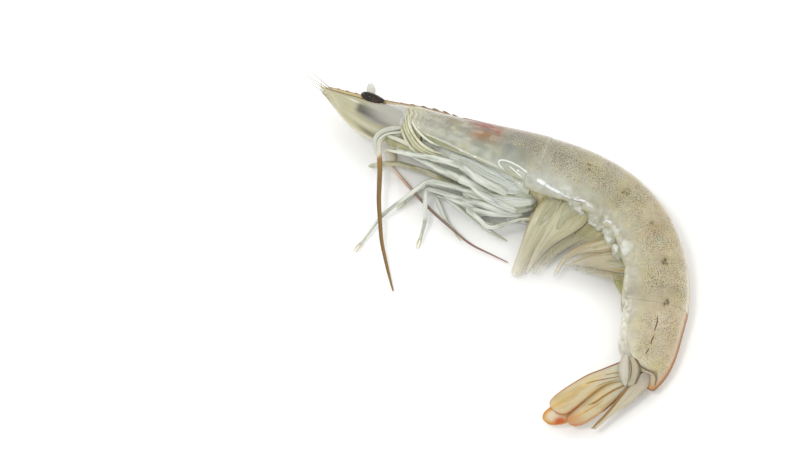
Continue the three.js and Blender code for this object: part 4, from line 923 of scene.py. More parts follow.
# how the left legs run over the breast before they leave it, from the root outwards, and how many of the joints that replaces
ROOTS = {
    "maxilliped_left": ([(29.6, 7.6, 9.8), (27.0, 8.2, 11.8), (24.5, 9.1, 12.6), (21.2, 10.9, 12.9)], 1, 1.1),
    "leg_1_left": ([(25.4, 8.2, 8.2), (23.4, 8.2, 10.2), (20.0, 10.1, 11.4), (16.4, 12.1, 11.2)], 2, 1.2),
    "leg_2_left": ([(32.0, 4.4, 7.4), (29.9, 4.0, 9.4), (25.5, 5.2, 10.8), (21.1, 8.1, 10.8)], 2, 1.15),
    "leg_3_left": ([(32.6, 5.0, 6.2), (30.2, 3.8, 7.9), (26.8, 3.6, 9.5), (22.6, 4.9, 10.1)], 2, 1.05),
    "leg_4_left": ([(30.4, 5.2, 5.0), (28.1, 4.0, 6.4), (23.7, 4.0, 8.0), (19.0, 5.8, 7.8)], 3, 1.0),
    "leg_5_left": ([(33.6, 5.0, 5.8), (31.2, 3.6, 7.4), (25.0, 2.8, 9.0)], 2, 0.95),
    "leg_1_right": ([(27.6, 9.0, 3.6), (25.6, 8.8, 2.6)], 2, 0.9),
    "leg_2_right": ([(27.0, 6.8, 4.4), (23.0, 8.0, 3.6)], 2, 0.9),
    "leg_3_right": ([(27.6, 5.8, 3.6), (24.0, 6.8, 2.6)], 2, 0.8),
    "leg_4_right": ([(33.0, 6.5, 4.0), (31.4, 5.2, 2.6), (28.6, 5.2, 1.8), (30.2, 4.6, 1.2), (33.6, 4.8, 0.9)], 5, 0.5),
    "leg_5_right": ([(35.6, 6.0, 4.6), (35.4, 4.4, 3.4), (32.4, 4.2, 2.6), (34.4, 3.6, 1.9), (38.2, 4.2, 1.9)], 5, 0.5),
}


def build_leg(name):
    hip, radius, articles = LIMBS[name]
    P, r = joints_of(hip, radius, articles)
    if name in ROOTS:
        pts, drop, r_root = ROOTS[name]
        P0 = np.concatenate([pts, P[drop:]])
        r0 = np.concatenate([np.full(len(pts), r_root) * np.linspace(0.9, 1.0, len(pts)), np.maximum(r[drop:] * 1.14, 0.2)])
        if drop > 4:
            r0 = r_root * np.linspace(1.2, 0.4, len(pts))
        if name == "leg_1_left":
            r0[4] = 0.95
        if name == "leg_5_left":
            P0 = np.concatenate([P0[:-1], [(28.1, -0.6, 9.6), (32.0, 1.1, 9.3), (34.8, 1.6, 8.8)]])
            r0 = np.concatenate([r0[:-1], [0.42, 0.3, 0.16]])
    else:
        root = P[0] + np.array([1.7, 3.0, 1.0])
        P0 = np.concatenate([[root], P])
        r0 = np.concatenate([[1.3], [1.1], r[1:]])
    path = rounded(P0, 1.6, 8)
    L = arc(path)[-1]
    n = max(60, int(L / 0.24))
    path = resample(path, n)
    d = arc(path)
    at = along(P0, path)
    rad = np.interp(d, at, r0) * 1.08
    rad = rad * np.clip(d / 2.0, 0.1, 1) ** 0.5
    bare = [j for j in range(1, len(at) - 1) if np.linalg.norm(P0[j][:2] - (24, 6)) > 9]
    for j in bare:  # each article swells towards its far joint, with a waist just past it
        rad *= 1 + 0.12 * np.exp(-((d - at[j] + 0.8) / 0.9) ** 2) - 0.12 * np.exp(-((d - at[j] - 0.4) / 0.35) ** 2)
    chela = name[:5] in ("leg_1", "leg_2", "leg_3")
    b = Bag()
    white, grey, yellow = lin(218, 222, 210), lin(204, 208, 192), lin(212, 206, 160)
    q = d / L
    if name == "maxilliped_right":
        white, grey = lin(184, 174, 130), lin(158, 146, 100)
    cc = mix(np.broadcast_to(grey, (n, 3)), np.broadcast_to(white, (n, 3)), smooth(0.05, 0.3, q))
    cc = mix(cc, np.broadcast_to(yellow, (n, 3)), 0.75 * smooth(0.84, 1.0, q))
    if name == "maxilliped_right":
        cc = mix(cc, np.broadcast_to(lin(216, 216, 196), (n, 3)), 0.8 * smooth(0.82, 0.92, q))
    if name == "leg_5_left":
        cc = mix(cc, np.broadcast_to(lin(190, 166, 116), (n, 3)), 0.6 * smooth(0.88, 1.0, q))
    for j in bare:
        cc = mix(cc, np.broadcast_to(lin(182, 180, 150), (n, 3)), 0.45 * np.exp(-((d - at[j]) / 0.45) ** 2))
    sides = 20
    stop = n
    if chela:  # the hand stops where the two fingers part
        stop = int(n * (1 - 2.7 / L))
    rad = np.where(q > 0.97, rad * np.sqrt(np.clip((1.001 - q) / 0.03, 0.02, 1)), rad)
    if name == "maxilliped_right":
        rad = rad * (1 + 0.8 * smooth(0.80, 0.88, q))
    pth, rd, cl = path[:stop], rad[:stop].copy(), cc[:stop]
    if chela:
        rd[-11:] = np.maximum(rd[-11:], 0.44) * (1 + 0.10 * np.sin(np.linspace(0, math.pi, 11)))
        rd[-1] *= 0.55
    rows, f = tube_rows(pth, rd, sides, 0.72)
    core = np.repeat(cl[:, None], sides, 1)
    # lengthwise flutes and streaks of the muscle inside
    A = np.broadcast_to(f[None], core.shape[:2])
    q2 = np.stack([np.broadcast_to(d[:stop, None] * 0.22, A.shape), np.cos(A) * 2.2, np.sin(A) * 2.2], -1)
    k = vnoise(q2, 0.8, 11.0)
    rows = rows + ((0.12 * (k - 0.5)) * np.minimum(rd, 0.8)[:, None])[..., None] * unit(rows - pth[:, None])
    V, qd, tr = loft(rows)
    core = mix(core, np.broadcast_to(lin(152, 158, 138), core.shape), 0.58 * smooth(0.48, 0.72, k))
    core = mix(core, np.broadcast_to(lin(242, 243, 234), core.shape), 0.55 * smooth(0.52, 0.76, 1 - k))
    b.put(V, qd, tr, ends(core), 0.0, 0.97, W=0.4)
    if chela:
        e, t = path[stop - 1], unit(path[stop - 1] - path[stop - 6])
        side = unit(np.cross(t, (0, 0, 1.0)))
        for sgn in (-1, 1):
            x = np.linspace(0, 1, 10)[:, None]
            fp = e - t * 0.35 + side * sgn * (0.20 + 0.22 * np.sin(x * math.pi * 0.9)) + t * x * 3.0
            rws, _ = tube_rows(fp, 0.27 * (1 - 0.75 * x[:, 0] ** 1.5), 8)
            V, qd, tr = loft(rws)
            fc = mix(np.broadcast_to(cl[-1], (10, 3)), np.broadcast_to(yellow, (10, 3)), 0.4 + 0.6 * x[:, 0])
            b.put(V, qd, tr, ends(np.repeat(fc[:, None], 8, 1)), 0.0, 0.92)
    if name == "leg_2_left":  # pale edge of its basal plate, curving down over the others
        pts = rounded([(17.6, 14.4, 11.0), (19.0, 9.9, 11.6), (21.8, 6.6, 11.8), (27.6, 4.2, 10.9), (31.2, 3.6, 9.6)], 3.0, 10)
        streak(b, pts, 0.50, lin(224, 227, 214), sides=12, flat=0.7, W=0.2)
    return b.make("limb_" + name, LIMB, "limb", [name])


for _n in LIMBS:
    build_leg(_n)

# ------------------------------------------------------------------ feelers
ANTENNAE = {
    "antenna_left": ((-2.8, 25.6, 9.6), 0.8, ((0.8, 125, 32, 0.7), (3.1, -124, 4, 0.55), (6.6, -86, -14, 0.5), (9.7, -92, -11, 0.45), (10.7, -86, -16, 0.38), (7.6, -77, -18, 0.32), (6.2, -76, -9, 0.15))),
    "antenna_right": ((-1.6, 24.4, 4.2), 1.5, ((3.2, -75, -14, 1.0), (1.7, -108, -13, 0.55), (7.8, -52, 1, 0.38), (6.4, -52, 0, 0.35), (5.7, -47, 0, 0.32), (5.4, -44, -2, 0.29), (5.2, -39, -13, 0.26), (11.0, -25, -7, 0.12))),
}


def build_feeler(name, start, widen, colours, painted_highlight):
    hip, radius, articles = ANTENNAE[name]
    P, r = joints_of(hip, radius, articles)
    path = rounded(P, 2.6, 9)
    L = arc(path)[-1]
    n = int(L / 0.22)
    path = resample(path, n)
    d = arc(path)
    rad = np.interp(d, along(P, path), r) * widen
    rad *= 1 + 0.05 * (np.arange(n) % 2) * smooth(start, start + 3, d)  # fine rings of the whip
    rad *= np.clip((L - d) / 0.5, 0.12, 1) ** 0.5
    cc = np.stack([np.interp(d, [c[0] for c in colours], [lin(*c[1])[k] for c in colours]) for k in range(3)], -1)
    rows, f = tube_rows(path, rad, 14)
    V, q, t = loft(rows)
    core = np.repeat(cc[:, None], 14, 1)
    # painted highlight: a lighter colour on the upper side of the whip
    core = mix(core, np.broadcast_to(lin(*painted_highlight), core.shape), 0.55 * np.broadcast_to(np.clip(np.cos(f), 0, 1) ** 2, core.shape[:2]) * smooth(start, start + 2, d)[:, None])
    b = Bag()
    b.put(V, q, t, ends(core), 0.0, 1.0, W=0.2)
    return b


def lump(b, points, radii, colour, flat=0.9, sides=20, see=1.0, W=0.5, n=40, streaks=0.0, rough=0.0):
    """A soft rounded mass along a few points."""
    path = resample(rounded(points, 1.6, 8), n)
    x = np.linspace(0, 1, n)
    rad = np.interp(x, np.linspace(0, 1, len(radii)), radii) * np.clip(np.minimum(x, 1 - x) / 0.10, 0.05, 1) ** 0.5
    rows, f = tube_rows(path, rad, sides, flat)
    if rough:
        rows = rows + rough * (vnoise(rows, 1.5, 35.0) + 0.35 * vnoise(rows, 0.6, 36.0) - 0.7)[..., None] * unit(rows - path[:, None]) * np.minimum(1, rad / 0.8)[:, None, None]
    V, q, t = loft(rows)
    c = np.broadcast_to(np.asarray(colour, float), rows.shape)
    # the rough lumps get olive flecks and painted highlights as near-white spots
    if rough:
        c = mix(c, np.broadcast_to(lin(166, 166, 132), c.shape), 0.6 * smooth(0.5, 0.75, vnoise(rows, 1.2, 37.0)))
        c = mix(c, np.broadcast_to(lin(250, 250, 244), c.shape), 0.8 * smooth(0.66, 0.76, vnoise(rows, 1.0, 38.0)))
    c = mix(c, np.broadcast_to(lin(226, 226, 212), c.shape), 0.35 * smooth(0.45, 0.8, vnoise(rows, 1.1, 13.0)))
    if streaks:
        c = mix(c, np.broadcast_to(lin(150, 146, 96), c.shape), streaks * smooth(0.45, 0.8, vnoise(rows, 1.5, 14.0)))
    b.put(V, q, t, ends(c), 0.0, see, W=W)


b = build_feeler("antenna_left", 6, 1.32, [(0, (206, 204, 176)), (4.2, (226, 222, 202)), (7.0, (226, 220, 200)), (8.2, (150, 110, 40)), (14, (108, 78, 16)), (30, (112, 82, 22)), (46, (128, 92, 34))], (176, 140, 76))
# pale bent article that carries it over the root of the scale, and the soft masses under it
lump(b, [(1.4, 27.4, 11.2), (-2.3, 26.6, 11.9), (-4.7, 25.4, 11.9), (-6.0, 23.7, 11.2), (-5.7, 21.6, 10.2), (-5.0, 19.4, 9.2)], [0.55, 0.72, 0.66, 0.62, 0.62, 0.5], lin(204, 205, 190), flat=0.7)
lump(b, [(1.6, 26.4, 10.6), (-2.2, 25.7, 11.3), (-4.2, 24.6, 11.3), (-5.2, 23.2, 10.8), (-5.0, 21.2, 10.0), (-4.7, 19.6, 9.3)], [0.3, 0.42, 0.38, 0.34, 0.34, 0.3], lin(226, 227, 214), flat=0.7)
lump(b, [(-3.4, 25.0, 9.6), (1.0, 23.2, 9.4), (5.0, 21.4, 9.2), (9.0, 19.8, 9.0)], [1.0, 1.5, 1.7, 1.0], lin(170, 168, 128), flat=0.7, streaks=0.6)
lump(b, [(-2.8, 25.4, 10.6), (1.2, 23.6, 10.7), (5.6, 20.8, 10.6)], [0.5, 0.6, 0.4], lin(216, 216, 196), flat=0.8)
b.make("feeler_left", FEELER, "feeler", ["antenna_left"])
build_feeler("antenna_right", 8, 1.12, [(0, (200, 196, 170)), (5, (222, 206, 190)), (11, (196, 160, 138)), (17, (98, 68, 46)), (28, (88, 62, 38)), (46, (134, 66, 30))], (186, 164, 146)).make("feeler_right", FEELER, "feeler", ["antenna_right"])

ANTENNULES = {
    "antennule_left": ((-6.8, 34.6, 9.2), 1.15, ((3.8, 152, 0, 1.0), (3.6, 153, -4, 0.7), (2.4, 154, -8, 0.3))),
    "antennule_right": ((-6.8, 34.4, 5.6), 1.1, ((3.8, 152, 1, 0.95), (3.6, 153, 5, 0.65), (2.4, 154, 6, 0.3))),
}


def hair(b, p, d, length, r0, colour, see, bend=(0, 0, 0), steps=5):
    x = np.linspace(0, 1, steps)[:, None]
    path = np.asarray(p, float) + np.asarray(d, float) * length * x + np.asarray(bend, float) * x * x
    rows, _ = tube_rows(path, r0 * (1 - 0.85 * x[:, 0]), 3)
    V, q, t = loft(rows)
    b.put(V, q, t, colour, 0.0, see)


for _n, (_h, _r, _a) in ANTENNULES.items():
    P, r = joints_of(_h, _r, _a)
    path = resample(rounded(P, 0.8, 5), 50)
    d = arc(path)
    rad = np.interp(d, along(P, path), r) * 0.95
    for j in along(P, path)[1:-1]:
        rad *= 1 - 0.18 * np.exp(-((d - j) / 0.35) ** 2)
    rows, _ = tube_rows(path, rad, 14, 0.9)
    V, q, t = loft(rows)
    b = Bag()
    b.put(V, q, t, lin(196, 188, 156), 0.25, 1.0)
    sgn = 1 if _n.endswith("left") else -1
    # two short whips that reach past the scales
    e = path[-2]
    for k, (dx, dy, dz, ln) in enumerate(((-0.86, 0.52, 0.02 * sgn, 10.5), (-0.80, 0.60, 0.05 * sgn, 11.5))):
        hair(b, e, unit((dx, dy, dz)), ln, 0.17, lin(150, 128, 96), 1.0, bend=(-0.4, 1.0 + 1.2 * k, 0.3 * sgn), steps=12)
    b.make("skin_" + _n, SCALE, "feeler", [_n])


# ------------------------------------------------------------------ blades
class Blade:
    """A thin leaf along a bent centre line: point(t, w, h) with t along, w across from -1 (right) to 1 (left), h along the normal."""

    def __init__(self, base, via, tip, left, right, crown=0.0, normal=(0, 0, 1), peak=0.45, blunt=0.6, root=0.35, end=0.985):
        self.b, self.v, self.t = (np.asarray(x, float) for x in (base, via, tip))
        self.left, self.right, self.crown = left, right, crown
        self.up = unit(normal)
        self.peak, self.blunt, self.root, self.end = peak, blunt, root, end
        self.length = float(np.linalg.norm(self.t - self.b))

    def frame(self, t):
        t = np.asarray(t, float)[..., None]
        p = (1 - t) ** 2 * self.b + 2 * t * (1 - t) * self.v + t * t * self.t
        d = unit(2 * (1 - t) * (self.v - self.b) + 2 * t * (self.t - self.v))
        n = unit(self.up - d * (d @ self.up)[..., None])
        return p, d, n, np.cross(n, d)

    def width(self, t):
        t = np.asarray(t, float)
        a = self.root + (1 - self.root) * np.sin(np.clip(t / self.peak, 0, 1) * math.pi / 2)
        x = np.clip((t - self.peak) / (1 - self.peak), 0, 1)
        return np.where(t < self.peak, a, np.clip(1 - x * x, 0, 1) ** self.blunt)

    def point(self, t, w, h=0.0, ripple=0.0):
        t, w, h = np.broadcast_arrays(np.asarray(t, float), w, h)
        p, d, n, side = self.frame(t)
        wd = self.width(t)
        x = np.where(w > 0, self.left, self.right) * w * wd
        z = self.crown * (0.5 - 1.1 * w * w) + h + ripple
        q = p + side * x[..., None] + n * z[..., None]
        q[..., 2] = np.maximum(q[..., 2], 0.05)
        return q


def put_blade(b, bl, colour, thick=0.34, nt=64, nw=26, see=None, ripple=None, dots=0.0, W=0.4):
    """The leaf as a closed thin solid, upper and lower faces joined round a thin edge."""
    t = np.linspace(0, bl.end, nt)
    w = np.sin(np.linspace(-1, 1, nw) * math.pi / 2)
    WW = np.concatenate([w, w[::-1][1:-1]])
    sgn = np.concatenate([np.ones(nw), -np.ones(nw - 2)])
    T, WW = np.meshgrid(t, WW, indexing="ij")
    prof = np.sqrt(np.clip(1 - np.abs(WW) ** 2.6, 0, 1)) * (1 - 0.55 * T)
    H = thick / 2 * prof * sgn[None]
    rp = 0.0 if ripple is None else ripple(T, WW)
    P = bl.point(T, WW, H, rp)
    V, q, tr = loft(P)
    A = np.ones_like(T) if see is None else see(T, WW)
    b.put(V, q, tr, ends(colour(T, WW)), dots, ends(A[..., None])[:, 0], W=W)


def rib(b, bl, pts, r0, r1, colour, h=0.18, sides=8, see=1.0, n=50, flat=0.75):
    """A raised rib along (t, w) points on a blade."""
    pts = np.array(pts, float)
    x = np.linspace(0, 1, n)
    k = np.concatenate([[0], np.cumsum(np.hypot(*np.diff(pts, axis=0).T))])
    k /= k[-1]
    tt, ww = np.interp(x, k, pts[:, 0]), np.interp(x, k, pts[:, 1])
    for _ in range(3):
        tt[1:-1] = (tt[:-2] + 2 * tt[1:-1] + tt[2:]) / 4
        ww[1:-1] = (ww[:-2] + 2 * ww[1:-1] + ww[2:]) / 4
    P = bl.point(tt, ww, h * 0.5)
    rad = r0 + (r1 - r0) * x
    rad = rad * np.clip(np.minimum(x, 1 - x) / 0.04, 0.25, 1) ** 0.5
    rows, _ = tube_rows(P, rad, sides, flat)
    V, q, t = loft(rows)
    colour = np.asarray(colour, float)
    if colour.ndim == 2:
        cc = np.stack([np.interp(x, np.linspace(0, 1, len(colour)), colour[:, j]) for j in range(3)], -1)
        cc = ends(np.repeat(cc[:, None], sides, 1))
    else:
        cc = colour
    b.put(V, q, t, cc, 0.0, see)


def fringe(b, bl, t0, t1, side, count, length, r0, colour, see, lean=0.5, w0=0.98, spread=0.12):
    """Fine hairs along a margin of a blade, leaning towards its tip."""
    for t in np.linspace(t0, t1, count):
        t = min(t + rng.uniform(-0.3, 0.3) * (t1 - t0) / count, bl.end)
        p = bl.point(t, side * w0)
        _, d, n, s = bl.frame(t)
        dirn = unit(s * side * (1 - lean) + d * lean + n * rng.uniform(-spread, spread))
        hair(b, p, dirn, length * rng.uniform(0.75, 1.1), r0, colour, see, bend=d * length * 0.12, steps=4)


# ---- scales of the antennae
SCALES = {
    "antennal_scale_left": dict(base=(5.0, 28.4, 10.6), via=(-9.0, 33.2, 12.7), tip=(-20.8, 41.6, 8.8), left=8.0, right=2.6, crown=0.4, normal=(0.1, -0.25, 1), peak=0.30, blunt=1.45, root=0.60),
    "antennal_scale_right": dict(base=(-7.4, 32.3, 3.4), via=(-12.4, 34.4, 3.6), tip=(-20.2, 41.2, 6.6), left=2.4, right=2.0, crown=-0.5, normal=(0.1, 0.25, 1), peak=0.22, blunt=1.2, root=0.85),
}
for nm, p in SCALES.items():
    bl = Blade(**p)

    def scale_colour(T, W):
        c = np.broadcast_to(lin(188, 183, 148), T.shape + (3,))
        c = mix(c, np.broadcast_to(lin(204, 198, 158), c.shape), smooth(0.70, 1.0, T))
        c = mix(c, np.broadcast_to(lin(184, 183, 171), c.shape), 0.95 * (1 - smooth(0.42, 0.54, T)) * (1 - smooth(0.30, 0.55, W)))
        c = mix(c, np.broadcast_to(lin(158, 153, 132), c.shape), 0.75 * (1 - smooth(0.10, 0.40, T)) * smooth(0.30, 0.55, W))
        # grey-violet blot with a crisp outer end that fades towards the root, brown shade near the lower edge
        edge = np.where(T > 0.530, (T - 0.530) / 0.034, (T - 0.530) / 0.20)
        c = mix(c, np.broadcast_to(lin(58, 56, 52), c.shape), 0.97 * np.exp(-edge ** 2 - ((W - 0.20 - 0.5 * (0.5 - T)) / 0.22) ** 2))
        c = mix(c, np.broadcast_to(lin(112, 108, 108), c.shape), 0.60 * np.exp(-((T - 0.30) / 0.10) ** 2 - ((W - 0.36) / 0.07) ** 2))
        c = mix(c, np.broadcast_to(lin(104, 92, 66), c.shape), 0.85 * np.exp(-((T - 0.36) / 0.12) ** 2 - ((W - 0.84 + 0.4 * (T - 0.36)) / 0.075) ** 2))
        streaks = 0.5 + 0.5 * np.sin(W * 26 + 4 * T + 2 * np.sin(5 * T))
        c = mix(c, np.broadcast_to(lin(218, 214, 194), c.shape), 0.14 * streaks * smooth(0.2, 0.5, T))
        c = mix(c, np.broadcast_to(lin(204, 201, 176), c.shape), 0.7 * np.exp(-((W - 0.64) / 0.08) ** 2) * (1 - smooth(0.5, 0.7, T)))
        c = mix(c, np.broadcast_to(lin(222, 214, 184), c.shape), 0.85 * smooth(0.90, 0.97, W))
        # painted highlight: a near-white streak on the raised middle rib
        c = mix(c, np.broadcast_to(lin(248, 246, 236), c.shape), 0.95 * np.exp(-((W + 0.02) / 0.05) ** 2 - ((T - 0.61) / 0.06) ** 2))
        c = mix(c, np.broadcast_to(lin(214, 206, 150), c.shape), 0.60 * smooth(0.55, 0.75, -W) * smooth(0.35, 0.5, T))
        return c

    b = Bag()
    put_blade(b, bl, scale_colour, 0.7, 104, 62, see=lambda T, W: (1 - 0.16 * smooth(0.75, 1, T) - 0.10 * smooth(0.95, 1, np.abs(W))) * smooth(0.0, 0.16, T),
              ripple=lambda T, W: 0.06 * np.sin(W * 11 + 4 * T) * (1 - T) + 0.16 * np.exp(-((W + 0.02) / 0.10) ** 2) * smooth(0.4, 0.55, T))
    rib(b, bl, [(0.35, -0.86), (0.55, -0.90), (0.8, -0.92), (0.975, -0.5)], 0.30, 0.14, [lin(206, 196, 146), lin(206, 190, 124), lin(206, 190, 132)], 0.3)
    rib(b, bl, [(0.42, -0.66), (0.6, -0.66), (0.93, -0.5)], 0.09, 0.07, lin(112, 86, 44), 0.6)
    rib(b, bl, [(0.22, 0.985), (0.5, 0.99), (0.93, 0.96)], 0.15, 0.08, lin(232, 225, 196), 0.05)
    fringe(b, bl, 0.30, 0.98, 1, 80, 0.8, 0.04, lin(232, 226, 200), 0.4, lean=0.62)
    for k in range(12):
        _, d, n, s = bl.frame(0.97)
        hair(b, bl.point(0.95, rng.uniform(-0.7, 0.7)), unit(d + s * rng.uniform(-0.5, 0.2) + n * rng.uniform(-0.2, 0.2)), rng.uniform(1.2, 2.4), 0.06, lin(206, 196, 160), 0.6)
    b.make("skin_" + nm, SCALE, "scale", [nm])

# ---- pale lobe by the eye
b = Bag()
bl = Blade((-6.8, 38.6, 8.4), (-6.9, 39.9, 9.4), (-7.0, 41.4, 10.8), 1.2, 1.2, normal=(0, -0.5, 1), peak=0.5, blunt=0.45, root=0.8)
put_blade(b, bl, lambda T, W: np.broadcast_to(lin(222, 222, 206), T.shape + (3,)), 0.8, 26, 16, see=lambda T, W: 0.66 - 0.34 * T)
b.make("skin_ocular_lobe", SCALE, "lobe", ["ocular_lobe"])

# ---- swimmerets: for each, one to three filmy leaves laid between two margins, streaked from root to tip
class Film(Blade):
    """A thin leaf laid between two margins, each a list of points from its root to its tip."""

    def __init__(self, one, two, crown=0.3, n=80, into=3.4):
        # the root runs on for a little way into the body
        one, two = ([np.asarray(m[0], float) + unit(np.asarray(m[0], float) - np.asarray(m[1], float)) * into + np.array([0, 0, -0.12 * into])] + list(m) for m in (one, two))
        a, c = resample(rounded(one, 3.0, 8), n), resample(rounded(two, 3.0, 8), n)
        mid = (a + c) / 2
        if np.cross((0, 0, 1.0), mid[-1] - mid[0]) @ (a[0] - c[0]) < 0:
            a, c = c, a
        self.A, self.B, self.k = a, c, np.linspace(0, 1, n)
        self.D = unit(np.gradient(mid, axis=0))
        self.crown, self.end = crown, 0.995
        self.length = float(np.linalg.norm(mid[-1] - mid[0]))

    def at(self, X, t):
        return np.stack([np.interp(t, self.k, X[:, j]) for j in range(3)], -1)

    def frame(self, t):
        t = np.asarray(t, float)
        a, c, d = self.at(self.A, t), self.at(self.B, t), unit(self.at(self.D, t))
        n = unit(np.cross(d, unit(a - c)))
        n = np.where(n[..., 2:] < 0, -n, n)
        return (a + c) / 2, d, n, unit(a - c)

    def point(self, t, w, h=0.0, ripple=0.0):
        t, w, h = np.broadcast_arrays(np.asarray(t, float), w, h)
        p, d, n, side = self.frame(t)
        half_w = np.linalg.norm(self.at(self.A, t) - self.at(self.B, t), axis=-1) / 2
        tip = np.sqrt(np.clip(1 - np.clip((t - 0.93) / 0.07, 0, 1) ** 2, 0.01, 1))
        q = p + side * (w * half_w * tip)[..., None] + n * (self.crown * (1 - w * w) * tip + h + ripple)[..., None]
        q[..., 2] = np.maximum(q[..., 2], 0.05)
        return q


# node: leaves as (one margin, the other margin, how solid, crown)
SWIMMERETS = {
    "pleopod_1_left": [([(37.4, 5.4, 10.6), (35.6, 2.9, 9.8), (33.8, -0.7, 8.8), (32.4, -4.7, 7.4), (31.1, -8.1, 5.6), (29.8, -11.0, 3.8), (29.6, -12.4, 2.6)],
                        [(44.4, 4.2, 11.2), (41.5, 0.2, 10.4), (38.6, -3.2, 9.0), (36.0, -6.5, 7.4), (34.2, -9.0, 5.6), (32.9, -11.1, 4.0), (32.1, -12.7, 2.6)], 1.0, 0.7),
                       ([(37.2, 2.4, 8.4), (34.8, -1.8, 7.0), (33.3, -5.9, 5.2), (32.0, -9.1, 3.6), (31.2, -11.5, 2.4)],
                        [(43.9, 2.2, 8.8), (41.1, -1.8, 7.6), (38.0, -5.4, 6.0), (35.6, -8.1, 4.4), (33.8, -10.9, 2.4)], 0.6, 0.3)],
    "pleopod_1_right": [([(38.5, 4.5, 4.6), (36.1, 0.4, 3.4), (33.9, -4.3, 2.2), (32.1, -8.5, 1.2)], [(43.2, 3.9, 4.6), (40.2, -0.2, 3.4), (36.9, -4.3, 2.2), (33.6, -9.0, 1.2)], 0.5, 0.3)],
    "pleopod_2_left": [([(41.3, 4.7, 11.4), (39.7, 0.4, 10.6), (37.6, -3.5, 9.0), (35.5, -7.0, 7.4), (34.2, -9.7, 5.8), (33.2, -12.0, 4.0)],
                        [(50.0, 0.1, 11.2), (47.1, -2.5, 10.4), (44.0, -4.0, 9.4), (40.9, -5.5, 8.4), (38.1, -7.4, 7.0), (35.5, -9.8, 5.4), (34.0, -12.3, 4.0)], 1.0, 0.8),
                       ([(45.4, 0.2, 9.2), (41.5, -3.2, 8.0), (38.4, -5.9, 6.4), (36.0, -8.6, 4.8), (34.8, -11.0, 3.2)],
                        [(49.5, -3.7, 8.8), (45.7, -5.3, 7.4), (42.5, -6.7, 6.2), (39.4, -8.6, 4.8), (37.4, -10.7, 3.2), (36.4, -12.6, 2.4)], 0.42, 0.3)],
    "pleopod_2_right": [([(46.2, 1.5, 4.6), (42.1, -2.1, 3.6), (38.8, -5.0, 2.4), (36.8, -7.7, 1.4)], [(49.8, -2.0, 4.6), (45.6, -4.1, 3.6), (42.0, -6.2, 2.4), (39.1, -9.2, 1.4)], 0.4, 0.3)],
    "pleopod_3_left": [([(56.0, -4.7, 10.8), (52.5, -5.6, 10.2), (49.1, -6.0, 9.4), (45.8, -6.9, 8.2), (43.2, -8.4, 6.6), (41.5, -10.4, 4.8), (40.5, -12.9, 3.4)],
                        [(57.0, -8.5, 10.4), (53.4, -8.8, 9.8), (50.4, -8.3, 8.8), (47.4, -8.3, 7.6), (44.5, -8.9, 6.0), (42.5, -10.7, 4.4), (41.0, -12.9, 3.4)], 1.0, 0.5),
                       ([(56.5, -7.0, 9.6), (52.5, -7.6, 9.0), (48.8, -8.1, 7.8), (46.1, -9.0, 6.6), (43.5, -10.1, 5.4)],
                        [(57.0, -10.8, 9.2), (53.4, -10.9, 8.2), (49.9, -10.6, 7.0), (46.9, -10.3, 5.8), (43.8, -10.6, 4.6)], 0.8, 0.4),
                       ([(48.1, 2.7, 10.2), (46.7, -0.6, 9.6), (45.4, -3.4, 8.8), (44.0, -5.9, 7.6)], [(56.6, -4.4, 10.2), (53.5, -5.9, 9.6), (50.4, -6.7, 8.9), (46.9, -7.4, 7.8)], 0.75, 0.5)],
    "pleopod_3_right": [([(56.5, -5.4, 4.4), (52.4, -6.5, 3.6), (48.7, -7.5, 2.8), (45.6, -8.5, 1.8)], [(56.8, -9.0, 4.4), (52.7, -9.7, 3.6), (49.1, -10.1, 2.6), (46.1, -9.9, 1.6)], 0.4, 0.3)],
    "pleopod_4_left": [([(57.2, -8.8, 9.8), (53.4, -9.1, 9.2), (50.4, -9.2, 8.4), (47.8, -9.5, 7.2), (45.8, -10.1, 6.2)],
                        [(57.1, -14.3, 9.0), (53.8, -13.3, 8.2), (50.8, -11.8, 7.2), (48.3, -11.1, 6.4), (46.1, -10.5, 5.8)], 0.9, 0.5),
                       ([(57.2, -11.1, 8.6), (53.9, -11.0, 7.8), (50.9, -10.6, 6.6), (48.4, -10.7, 5.4), (46.4, -10.9, 4.6)],
                        [(57.1, -15.8, 7.6), (53.9, -14.8, 6.6), (50.9, -13.1, 5.6), (48.4, -11.7, 4.6), (46.2, -11.0, 3.8)], 0.35, 0.3)],
    "pleopod_4_right": [([(57.4, -9.1, 4.6), (53.7, -9.7, 4.0), (50.7, -9.8, 3.2), (48.6, -10.0, 2.4)], [(57.3, -12.5, 4.6), (54.1, -12.2, 3.8), (51.1, -11.5, 3.0), (49.1, -11.1, 2.2)], 0.35, 0.3)],
    "pleopod_5_left": [([(55.2, -9.5, 8.8), (55.0, -11.9, 7.8), (55.4, -14.3, 6.8), (56.4, -16.6, 5.8), (57.7, -18.7, 4.8), (58.5, -19.8, 4.0)],
                        [(59.1, -8.3, 8.8), (59.6, -11.9, 7.8), (59.7, -14.9, 6.8), (59.6, -17.2, 5.8), (59.3, -19.0, 4.8), (58.9, -20.1, 4.0)], 1.0, 0.4),
                       ([(55.5, -11.4, 7.0), (56.3, -14.1, 6.0), (57.3, -16.9, 5.0), (58.3, -18.9, 4.0)], [(58.9, -10.9, 7.0), (59.4, -13.9, 6.0), (59.4, -16.9, 5.0), (58.9, -19.2, 4.0)], 0.7, 0.3)],
    "pleopod_5_right": [([(56.3, -10.2, 3.4), (57.1, -13.0, 3.0), (57.8, -15.6, 2.6), (58.5, -17.7, 2.2)], [(58.9, -10.2, 3.4), (59.4, -13.0, 3.0), (59.3, -15.6, 2.6), (59.0, -18.0, 2.2)], 0.6, 0.3)],
}


